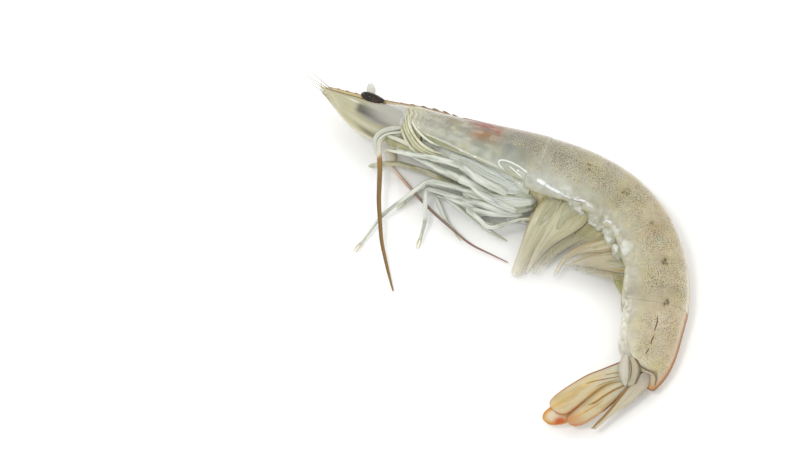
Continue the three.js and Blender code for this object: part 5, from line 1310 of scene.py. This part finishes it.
# soft swellings of the flank's lower edge over the roots
SWELLINGS = {
    "pleopod_1_left": (([(38.8, 9.0, 12.6), (40.5, 6.8, 12.4), (41.8, 5.2, 11.0)], [1.40, 1.90, 1.10]),),
    "pleopod_2_left": (([(44.9, 6.2, 12.4), (46.7, 3.3, 12.2), (48.2, 0.8, 10.9)], [1.50, 2.40, 1.40]),),
    "pleopod_3_left": (([(50.0, 2.8, 12.2), (52.0, -0.4, 12.0), (53.3, -3.2, 10.8)], [1.60, 2.50, 1.40]),),
    "pleopod_4_left": (([(54.0, -2.4, 12.0), (55.2, -5.1, 11.6), (55.7, -7.6, 10.2)], [1.20, 1.90, 1.10]),),
    "pleopod_5_left": (([(55.6, -7.5, 11.6), (57.1, -9.9, 11.2), (57.6, -12.0, 9.8)], [1.00, 1.60, 0.90]),),
}


def swim_colour(kind, seed, half_w):
    root, mid, tipc, gold = {
        0: (lin(184, 180, 130), lin(212, 207, 170), lin(238, 234, 214), lin(188, 164, 104)),
        1: (lin(184, 170, 110), lin(208, 194, 156), lin(234, 228, 204), lin(192, 156, 100)),
        3: (lin(190, 182, 132), lin(196, 188, 138), lin(214, 208, 166), lin(172, 156, 92)),
        2: (lin(176, 176, 112), lin(176, 178, 108), lin(196, 194, 132), lin(150, 148, 78)),
    }[kind]

    def f(T, W):
        c = mix(np.broadcast_to(root, T.shape + (3,)), np.broadcast_to(mid, T.shape + (3,)), smooth(0.05, 0.4, T))
        c = mix(c, np.broadcast_to(tipc, c.shape), smooth(0.55, 0.95, T) * 0.9)
        n = vnoise(np.stack([T * 1.4 + 0.25 * W, W * half_w * 2.4, np.full_like(T, seed)], -1), 1.0, 15.0)
        m = vnoise(np.stack([T * 2.2 + 0.2 * W, W * half_w * 6.0, np.full_like(T, seed + 3.0)], -1), 1.0, 16.0)
        o = vnoise(np.stack([T * 5.0, W * half_w * 1.0, np.full_like(T, seed + 6.0)], -1), 1.0, 17.0)
        c = mix(c, np.broadcast_to(gold, c.shape), 0.42 * smooth(0.50, 0.80, n) * (1 - 0.5 * T))
        c = mix(c, np.broadcast_to(lin(232, 227, 202), c.shape), 0.42 * smooth(0.54, 0.80, 1 - m))
        c = mix(c, np.broadcast_to(lin(172, 162, 116), c.shape), 0.26 * smooth(0.56, 0.84, m) * (1 - 0.6 * T))
        # painted highlights: near-white spots over the root of the leaf
        c = mix(c, np.broadcast_to(lin(246, 245, 234), c.shape), 0.75 * smooth(0.66, 0.80, o) * (1 - smooth(0.30, 0.45, T)))
        return c
    return f


for _i, (_n, _leaves) in enumerate(SWIMMERETS.items()):
    b = Bag()
    kind = 2 if "_5_" in _n else (0 if _n[8] in "12" else 1)
    for _j, (one, two, solid, crown) in enumerate(_leaves):
        leaf = Film(one, two, crown)
        hw = float(np.linalg.norm(leaf.A - leaf.B, axis=1).mean()) / 2
        see = lambda T, W, k=solid: np.clip(k * (0.84 - 0.42 * smooth(0.45, 1.0, T)) * (1 - 0.30 * smooth(0.80, 1, np.abs(W)) * smooth(0.3, 0.6, T)), 0.06, 1)
        film = _j == 2
        if film:
            see = lambda T, W: 0.04 + 0.66 * (1 - smooth(0.30, 0.98, T)) * (1 - 0.6 * smooth(0.6, 1, np.abs(W)))
        # the stout first article shows as a swelling of the root
        rip = lambda T, W, s0=_i + _j: 0.04 * (vnoise(np.stack([T * 2.0, W * 4.0, np.full_like(T, s0)], -1), 1.0, 18.0) - 0.5) * 2 + 0.35 * np.exp(-((T - 0.24) / 0.12) ** 2) * (1 - W * W)
        put_blade(b, leaf, swim_colour(3 if film else kind, _i * 2 + _j, hw), 0.50, 72, (44 if hw > 1.4 else 28) if _n.endswith("left") else 24, see=see, ripple=rip, W=0.5)
        count = int(5 + 3.2 * hw)
        for w0 in np.linspace(-0.93, 0.93, count) + rng.uniform(-0.08, 0.08, count):
            w0 = float(np.clip(w0, -0.97, 0.97))
            t0, t1 = rng.uniform(0.0, 0.25), rng.uniform(0.72, 0.985)
            w1 = float(np.clip(w0 + rng.uniform(-0.15, 0.15), -0.97, 0.97))
            if rng.random() < 0.78:
                cl = [lin(222, 214, 176), lin(238, 233, 208), lin(246, 243, 228)]
            else:
                cl = [lin(186, 166, 106), lin(200, 178, 124), lin(218, 206, 166)]
            if kind == 2:
                cl = [lin(196, 194, 132), lin(206, 204, 146), lin(220, 218, 176)] if rng.random() < 0.6 else [lin(146, 142, 74), lin(158, 154, 84), lin(176, 172, 110)]
            P0 = leaf.point(np.linspace(t0, t1, 3), np.linspace(w0, w1, 3))
            rib(b, leaf, [(t0, w0), (0.5 * (t0 + t1), 0.5 * (w0 + w1) + rng.uniform(-0.04, 0.04)), (t1, w1)], rng.uniform(0.045, 0.085), 0.03, cl, 0.42, n=28, see=(0.10 if film else 0.16 + 0.36 * solid), sides=6, flat=0.5)
        if film:
            continue
        if _j == 0 and _n.endswith("left"):  # stout glassy first article
            tt = np.array([0.0, 0.10, 0.22, 0.34, 0.44])
            mid = leaf.point(tt, 0.15 * np.sin(tt * 9 + _i), 0.10)
            lump(b, mid, [0.50 * hw, 0.66 * hw, 0.62 * hw, 0.42 * hw, 0.16 * hw], lin(196, 192, 156) if kind < 2 else lin(178, 176, 118), flat=0.42, sides=28, see=0.62, W=0.9, n=30)
            for w0, tone in ((-0.42, lin(236, 234, 214)), (0.05, lin(206, 198, 156)), (0.48, lin(240, 238, 222))):
                t2 = np.linspace(0.04, 0.40, 14)
                streak(b, leaf.point(t2, w0 + 0.12 * np.sin(t2 * 12 + w0 * 9), 0.42 + 0.16 * hw * np.sin(math.pi * t2 / 0.44)), 0.10, tone, sides=6, flat=0.6, see=0.6, W=0.6)
        for side in (1, -1):
            outer = leaf.point(0.5, side * 0.98)[0] < leaf.point(0.5, -side * 0.98)[0]
            tone = [lin(192, 170, 110), lin(190, 164, 106), lin(222, 206, 168)] if outer and solid > 0.8 else [lin(214, 206, 170), lin(230, 224, 196), lin(242, 238, 222)]
            if kind == 2:
                tone = [lin(160, 156, 88), lin(180, 174, 100), lin(206, 198, 140)]
            rib(b, leaf, [(0.02, side * 0.985), (0.5, side * 0.985), (0.96, side * 0.96)], 0.13 if outer and solid > 0.8 else 0.07, 0.06, tone, 0.2, n=44, see=0.30 + 0.55 * solid, sides=8, flat=0.7)
        k = max(8, int(leaf.length * 1.1))
        fringe(b, leaf, 0.70, 0.99, 1, k, 0.9, 0.03, lin(238, 234, 214), 0.30 * solid, lean=0.80)
        fringe(b, leaf, 0.70, 0.99, -1, k, 0.9, 0.03, lin(238, 234, 214), 0.30 * solid, lean=0.80)
    # soft swellings of the flank's edge, rough, so they carry near-white painted highlights
    for pts, radii in SWELLINGS.get(_n, ()):
        lump(b, pts, radii, lin(200, 200, 180), flat=0.75, sides=34, see=0.80, W=1.0, n=32, rough=0.9)
    b.make("swim_" + _n, SWIM, "swimmeret", [_n])

# ---- tail fan
RUST = lin(200, 84, 0)


def lay(leaf, pts, lift=0.10):
    """Points over a leaf, set down on its upper face."""
    T, W = np.meshgrid(np.linspace(0, leaf.end, 140), np.linspace(-1, 1, 61), indexing="ij")
    S = leaf.point(T, W).reshape(-1, 3)
    path = resample(rounded(pts, 2.0, 6), 44)
    for p in path:
        p[2] = S[np.argmin(((S[:, :2] - p[:2]) ** 2).sum(-1)), 2] + lift
    for _ in range(4):
        path[1:-1] = (path[:-2] + 2 * path[1:-1] + path[2:]) / 4
    return path


def fan_colour(kind, seed, leaf):
    def f(T, W):
        c = mix(np.broadcast_to(lin(212, 206, 176), T.shape + (3,)), np.broadcast_to(lin(224, 198, 138), T.shape + (3,)), smooth(0.1, 0.5, T))
        c = mix(c, np.broadcast_to(lin(224, 184, 114), c.shape), 0.7 * smooth(0.5, 0.9, T))
        n = vnoise(np.stack([T * 2.4, W * 1.7, np.full_like(T, seed)], -1), 1.0, 17.0)
        m = vnoise(np.stack([T * 7.0 + W, W * 4.5 + 2 * T, np.full_like(T, seed + 2.0)], -1), 1.0, 19.0)
        c = mix(c, np.broadcast_to(lin(196, 170, 104), c.shape), 0.45 * smooth(0.5, 0.8, n))
        c = mix(c, np.broadcast_to(lin(214, 208, 182), c.shape), 0.50 * smooth(0.5, 0.8, 1 - n))
        c = mix(c, np.broadcast_to(lin(186, 162, 112), c.shape), 0.35 * smooth(0.55, 0.80, m))
        c = mix(c, np.broadcast_to(lin(206, 202, 178), c.shape), 0.30 * smooth(0.55, 0.80, 1 - m))
        P = leaf.point(T, W)
        tip, rim = smooth(0.72, 0.97, T), smooth(0.80, 0.99, np.abs(W))
        if kind == "outer":
            c = mix(c, np.broadcast_to(lin(186, 168, 92), c.shape), 0.45 * np.exp(-((P[..., 0] - 40.8) / 2.6) ** 2 - ((P[..., 1] + 48.6) / 1.6) ** 2))
            c = mix(c, np.broadcast_to(lin(200, 146, 92), c.shape), 0.70 * np.maximum(smooth(0.95, 1.0, T), 0.5 * rim))
        if kind == "inner":
            c = mix(c, np.broadcast_to(lin(204, 136, 76), c.shape), 0.75 * tip + 0.30 * rim * (1 - tip))
        if kind == "tip":
            c = mix(c, np.broadcast_to(lin(226, 214, 186), c.shape), 0.8 * smooth(0.70, 0.85, T))
            c = mix(c, np.broadcast_to(lin(216, 154, 46), c.shape), 0.95 * np.clip(smooth(0.66, 0.84, T) * smooth(0.30, 0.85, np.abs(W)) + smooth(0.90, 0.99, T), 0, 1))
            c = mix(c, np.broadcast_to(RUST, c.shape), 0.95 * np.clip(1.7 * np.exp(-((P[..., 0] - 41.0) / 1.2) ** 2 - ((P[..., 1] + 54.2) / 1.0) ** 2), 0, 1))
        if kind == "rust":
            c = mix(c, np.broadcast_to(RUST, c.shape), 0.55 * smooth(0.82, 0.99, T))
        return c
    return f


# node: its two margins, from the root to the tip, and its kind
FAN = {
    "uropod_outer_left": ([(57.3, -38.8, 7.6), (53.9, -40.5, 8.1), (51.3, -41.7, 8.3), (48.7, -42.7, 8.3), (46.2, -44.0, 8.0), (43.6, -45.5, 7.6), (41.1, -47.0, 7.0), (39.4, -48.2, 6.3), (38.4, -49.3, 5.7), (38.6, -50.5, 5.2)],
                          [(57.6, -44.3, 6.9), (54.3, -44.7, 7.3), (52.0, -45.7, 7.5), (50.1, -47.1, 7.5), (48.1, -48.7, 7.3), (46.1, -50.4, 6.9), (44.3, -51.8, 6.3), (42.5, -52.9, 5.7), (41.0, -52.6, 5.3), (39.5, -51.5, 5.0)], "outer"),
    "uropod_inner_left": ([(57.3, -42.9, 6.9), (53.4, -44.7, 7.1), (50.2, -46.9, 6.9), (47.6, -48.9, 6.5), (45.1, -51.1, 5.9), (42.8, -53.0, 5.2), (42.4, -54.1, 4.7)],
                          [(58.5, -45.4, 6.2), (55.6, -48.0, 6.2), (53.5, -50.0, 6.0), (51.2, -52.4, 5.6), (49.1, -53.8, 5.2), (47.1, -55.0, 4.8), (45.0, -55.5, 4.5), (43.3, -55.1, 4.5)], "inner"),
    "uropod_inner_right": ([(57.6, -41.6, 5.6), (51.5, -43.6, 5.8), (46.3, -46.3, 5.6), (41.7, -48.9, 5.2), (38.4, -50.4, 4.8), (36.9, -51.8, 4.4), (36.3, -52.8, 4.1)],
                           [(58.0, -44.2, 5.2), (52.9, -47.5, 5.2), (48.8, -50.8, 5.0), (45.7, -53.0, 4.6), (42.6, -54.5, 4.2), (40.6, -54.9, 3.9), (38.6, -54.8, 3.7), (37.1, -54.0, 3.7)], "tip"),
    "uropod_outer_right": ([(58.7, -43.2, 4.2), (54.5, -45.6, 4.2), (50.4, -48.6, 4.0), (47.3, -51.2, 3.6), (45.2, -52.9, 3.2), (44.5, -53.7, 3.0)],
                           [(59.7, -44.6, 3.8), (56.6, -47.1, 3.8), (52.9, -50.4, 3.6), (50.3, -52.2, 3.4), (47.7, -53.7, 3.2), (46.0, -54.2, 3.0)], "rust"),
}
amber = [lin(158, 116, 48), lin(168, 124, 54), lin(182, 134, 70)]
for _i, (_n, (one, two, _kind)) in enumerate(FAN.items()):
    bl = Film(one, two, 0.35, into=1.2)
    b = Bag()
    put_blade(b, bl, fan_colour(_kind, _i, bl), 0.40, 92, 44 if _n.endswith("left") or _kind == "tip" else 24, see=lambda T, W: 0.94 - 0.08 * smooth(0.4, 0.95, np.abs(W)) - 0.06 * T,
              ripple=lambda T, W, k=_i: 0.10 * (vnoise(np.stack([T * 2.5, W * 2.0, np.full_like(T, k * 1.0)], -1), 1.0, 20.0) - 0.5) + 0.02 * np.sin(W * 12) * np.sin(math.pi * T), W=0.5)
    for side in (1, -1):
        upper = bl.point(0.5, side * 0.98)[1] > bl.point(0.5, -side * 0.98)[1]
        if _kind == "outer":
            tone = [lin(130, 78, 54), lin(176, 120, 76), lin(210, 150, 90)] if upper else [lin(176, 150, 84), lin(180, 132, 60), lin(204, 102, 44)]
        elif _kind == "tip":
            tone = [lin(196, 170, 110), lin(206, 160, 80), lin(214, 130, 30)]
        else:
            tone = [lin(190, 172, 130), lin(196, 150, 96), lin(204, 112, 56)]
        rib(b, bl, [(0.03, side * 0.985), (0.5, side * 0.985), (0.985, side * 0.93)], 0.18 if _kind == "outer" else 0.12, 0.12, tone, 0.2, sides=10, n=90, flat=0.7)
    if _kind == "outer":
        for pts, r in (([(56.9, -43.0, 0), (53.3, -43.9, 0), (50.8, -44.5, 0), (47.4, -45.5, 0)], 0.13), ([(56.8, -42.0, 0), (55.0, -42.3, 0), (52.5, -43.1, 0)], 0.10),
                       ([(55.9, -43.9, 0), (52.8, -44.8, 0), (50.2, -46.1, 0)], 0.08)):
            streak(b, lay(bl, pts, 0.20), r, lin(166, 126, 62), sides=8, flat=0.6)
    if _kind == "inner":
        streak(b, lay(bl, [(58.0, -44.9, 0), (56.8, -45.6, 0), (55.0, -46.5, 0), (53.0, -47.7, 0), (51.3, -48.9, 0), (49.8, -50.0, 0), (48.1, -50.5, 0)], 0.22), 0.26, lin(166, 122, 44), sides=10, flat=0.6)
        streak(b, lay(bl, [(52.3, -49.0, 0), (49.9, -50.8, 0), (46.9, -52.5, 0)], 0.18), 0.08, lin(186, 140, 78), sides=8, flat=0.6)
    fringe(b, bl, 0.70, 0.985, 1, 34, 0.6, 0.03, lin(220, 184, 130), 0.35, lean=0.6)
    fringe(b, bl, 0.70, 0.985, -1, 34, 0.6, 0.03, lin(220, 184, 130), 0.35, lean=0.6)
    b.make("fan_" + _n, FIN, "fin", [_n])

# stout bases of the fan
for _n, (_h, _r, _hd) in {"uropod_base_left": ((58.1, -38.7, 5.4), 1.5, -140), "uropod_base_right": ((58.8, -38.6, 2.6), 1.5, -140)}.items():
    P, r = joints_of(_h, _r, ((3.4, _hd, 0, _r * 0.86),))
    ax = unit(P[1] - P[0])
    n = 40
    path = resample(np.array([P[0] - ax * 1.6, P[1] + ax * 0.9]), n)
    x = np.linspace(0, 1, n)
    rad = _r * (0.84 + 0.20 * np.sin(math.pi * x ** 0.8)) * np.clip(np.minimum(x, 1 - x) / 0.12 + 0.2, 0, 1) ** 0.5
    rows, f = tube_rows(path, rad, 32, 0.9)
    rows += 0.10 * (vnoise(rows, 1.2, 18.0) - 0.5)[..., None] * unit(rows - path[:, None])
    V, q, t = loft(rows)
    b = Bag()
    cc = np.broadcast_to(lin(210, 202, 172), (n, 32, 3))
    cc = mix(cc, np.broadcast_to(lin(180, 158, 106), cc.shape), 0.5 * smooth(0.5, 0.8, vnoise(rows, 0.9, 20.0)))
    b.put(V, q, t, ends(cc), 0.0, 1.0)
    if _n.endswith("left"):  # its two plates, overlapping the roots of the leaves
        for one, two, tone, dark, th in (([(58.5, -38.5, 7.8), (58.5, -40.6, 8.4), (58.3, -42.6, 8.4), (57.9, -44.2, 7.8), (57.5, -45.5, 6.8)],
                                          [(60.5, -38.5, 8.0), (61.4, -40.4, 8.5), (61.4, -41.9, 8.3), (60.9, -43.5, 7.6), (60.1, -45.3, 6.6)], lin(192, 182, 156),
                                          [(60.2, -38.7, 8.7), (61.0, -40.0, 8.9), (61.5, -41.4, 8.9), (61.3, -42.6, 8.6), (60.7, -44.0, 8.0), (60.1, -45.4, 6.9)], 0.8),
                                         ([(57.1, -37.3, 7.5), (56.6, -38.7, 8.1), (55.9, -40.3, 8.5), (55.8, -42.3, 8.5), (56.1, -43.8, 8.2), (56.6, -44.9, 7.6), (57.3, -45.5, 6.8)],
                                          [(59.1, -37.8, 7.5), (59.1, -39.7, 8.2), (59.0, -41.5, 8.5), (58.9, -43.0, 8.3), (58.5, -44.3, 7.6), (58.0, -45.4, 6.8)], lin(216, 211, 192),
                                          [(58.9, -38.8, 8.6), (59.1, -40.1, 9.1), (59.1, -42.1, 9.4), (58.9, -43.7, 9.1), (58.5, -44.8, 8.5)], 0.6)):
            plate = Film(one, two, 0.45, into=0.0)

            def plate_colour(T, W, tone=tone):
                c = np.broadcast_to(tone, T.shape + (3,))
                q = vnoise(np.stack([T * 4.0, W * 2.0, np.zeros_like(T)], -1), 1.0, 22.0)
                c = mix(c, np.broadcast_to(lin(196, 180, 136), c.shape), 0.45 * smooth(0.5, 0.8, q))
                return mix(c, np.broadcast_to(lin(204, 192, 156), c.shape), 0.45 * smooth(0.82, 1.0, np.abs(W)))

            put_blade(b, plate, plate_colour, th, 60, 40, see=lambda T, W: 0.90 - 0.58 * smooth(0.35, 1.0, np.abs(W)), ripple=lambda T, W: 0.16 * (vnoise(np.stack([T * 5.0, W * 2.0, np.zeros_like(T)], -1), 1.0, 31.0) - 0.5), W=0.5)
            streak(b, rounded(dark, 1.2, 6), 0.12, lin(116, 88, 44), sides=10, flat=0.8)
    b.make("fan_" + _n, FIN, "fin", [_n])

# telson: a grooved wedge to a sharp point
tel = Film([(59.7, -43.6, 6.4), (58.1, -45.6, 6.4), (56.3, -48.0, 6.2), (54.2, -50.7, 5.8), (51.9, -53.4, 5.4), (50.0, -55.1, 5.0), (48.9, -56.2, 4.6)],
           [(64.3, -42.6, 5.6), (63.6, -44.9, 5.2), (61.6, -46.8, 5.0), (60.1, -48.3, 4.8), (58.2, -49.7, 4.6), (55.8, -51.3, 4.6), (53.4, -52.8, 4.6), (51.3, -54.2, 4.6), (49.1, -56.0, 4.5)], 0.5, into=1.6)


def tel_colour(T, W):
    P = tel.point(T, W)
    c = mix(np.broadcast_to(lin(194, 184, 164), T.shape + (3,)), np.broadcast_to(lin(206, 196, 164), T.shape + (3,)), smooth(0.15, 0.5, T))
    c = mix(c, np.broadcast_to(lin(150, 138, 136), c.shape), 0.42 * np.exp(-((P[..., 0] - 62.6) / 1.8) ** 2 - ((P[..., 1] + 42.6) / 1.6) ** 2))
    n = vnoise(np.stack([T * 3.0, W * 5.0, np.zeros_like(T)], -1), 1.0, 21.0)
    m = vnoise(np.stack([T * 6.0 + W, W * 9.0, np.ones_like(T)], -1), 1.0, 23.0)
    c = mix(c, np.broadcast_to(lin(186, 164, 120), c.shape), 0.40 * smooth(0.5, 0.8, n))
    c = mix(c, np.broadcast_to(lin(230, 224, 204), c.shape), 0.35 * smooth(0.55, 0.8, m))
    c = mix(c, np.broadcast_to(lin(160, 118, 72), c.shape), 0.45 * smooth(0.93, 1.0, np.abs(W)))
    c = mix(c, np.broadcast_to(lin(150, 100, 60), c.shape), 0.5 * smooth(0.92, 1, T))
    return c


b = Bag()
put_blade(b, tel, tel_colour, 1.8, 84, 36, see=lambda T, W: np.full(T.shape, 0.97), ripple=lambda T, W: -0.25 * np.exp(-(W / 0.28) ** 2) * np.sin(math.pi * np.clip(T * 1.1, 0, 1)))
edge = [(59.1, -44.8, 7.0), (56.8, -47.5, 6.8), (54.9, -50.0, 6.3), (52.3, -53.0, 5.8), (50.4, -54.8, 5.3), (48.7, -56.4, 4.8)]
streak(b, rounded(edge, 2.0, 6), 0.24, lin(160, 116, 56), sides=10, flat=0.8)
low = tel.A if tel.A[40][1] < tel.B[40][1] else tel.B
streak(b, low[4:] + np.array([0, 0, 0.1]), 0.12, lin(166, 132, 92), sides=8, flat=0.8)
b.make("fan_telson", FIN, "fin", ["telson"])

# ------------------------------------------------------------------ eyes
for _n, _sg in (("eye_left", 1), ("eye_right", -1)):
    tip = body(-13.3, 0.7, _sg * 4.5)
    root = body(-13.4 + 7.2, 1.5, _sg * 3.9)
    ax = unit(tip - root)
    L = float(np.linalg.norm(tip - root))
    n = 80
    x = np.linspace(0, 1, n)
    prof = np.interp(x, [0, 0.06, 0.16, 0.28, 0.42, 0.58, 0.72, 0.84, 0.92, 0.97, 1.0], [0.30, 0.50, 0.66, 0.80, 0.93, 1.0, 0.97, 0.82, 0.62, 0.38, 0.03])
    prof = np.convolve(np.pad(prof, 2, mode="edge"), [0.1, 0.2, 0.4, 0.2, 0.1], "valid")
    prof[-1] = 0.03
    path = root + ax * (x * L)[:, None]
    rows, f = tube_rows(path, prof * 1.28, 40, 1.0)
    V, q, t = loft(rows)
    X = np.broadcast_to(x[:, None], (n, 40))
    cc = np.broadcast_to(lin(30, 23, 18), (n, 40, 3))
    cc = mix(np.broadcast_to(lin(150, 128, 84), cc.shape), cc, smooth(0.04, 0.12, X))
    cc = mix(cc, np.broadcast_to(lin(74, 54, 32), cc.shape), 0.6 * smooth(0.45, 0.75, vnoise(rows, 0.8, 22.0)))
    b = Bag()
    b.put(V, q, t, ends(cc), 0.0, 1.0)
    b.make("cornea_" + _n, EYE_M, "eye", [_n])

# ------------------------------------------------------------------ floor, light, camera
fm = bpy.data.materials.new("floor")
fm.use_nodes = True
fb = fm.node_tree.nodes["Principled BSDF"]
fb.inputs["Base Color"].default_value = (0.945, 0.945, 0.935, 1)
fb.inputs["Roughness"].default_value = 1.0
fb.inputs["Specular IOR Level"].default_value = 0.0
me = bpy.data.meshes.new("floor")
me.from_pydata([(-3, -3, 0), (3, -3, 0), (3, 3, 0), (-3, 3, 0)], [], [(0, 1, 2, 3)])
floor = bpy.data.objects.new("floor", me)
me.materials.append(fm)
bpy.context.scene.collection.objects.link(floor)

world = bpy.data.worlds.new("studio")
bpy.context.scene.world = world
world.use_nodes = True
world.node_tree.nodes["Background"].inputs["Color"].default_value = (1, 1, 1, 1)
world.node_tree.nodes["Background"].inputs["Strength"].default_value = 0.95


def area(name, at, size, power, target=(0.01, 0.005, 0.0), gloss=True):
    li = bpy.data.lights.new(name, "AREA")
    li.energy = power
    li.size = size
    ob = bpy.data.objects.new(name, li)
    ob.location = at
    from mathutils import Vector
    ob.rotation_euler = Vector(np.array(target) - np.array(at)).to_track_quat("-Z", "Y").to_euler()
    bpy.context.scene.collection.objects.link(ob)
    ob.visible_glossy = gloss
    return ob


area("key", (-0.20, -0.20, 0.62), 0.15, 1.00, gloss=False)
area("glint", (-0.17, -0.16, 0.62), 0.022, 0.16)
area("fill", (-0.55, 0.25, 0.45), 0.20, 0.56)
area("top", (0.25, 0.30, 0.70), 0.36, 0.52, gloss=False)

cam = bpy.data.cameras.new("camera")
cam.sensor_width = 36.0
cam.lens = 700.0 / 0.26 * 36.0 / 794.0
cam.clip_start, cam.clip_end = 0.05, 20
co = bpy.data.objects.new("camera", cam)
E = math.radians(62)
co.location = ((0 - MID[0]) * MM, (-700 * math.cos(E) - MID[1]) * MM, (8 + 700 * math.sin(E)) * MM)
co.rotation_euler = (math.radians(28), 0, 0)
bpy.context.scene.collection.objects.link(co)
bpy.context.scene.camera = co

bpy.context.scene.view_settings.view_transform = "Standard"
bpy.context.scene.view_settings.look = "None"
bpy.context.scene.view_settings.exposure = 0.0
bpy.context.scene.view_settings.gamma = 1.0
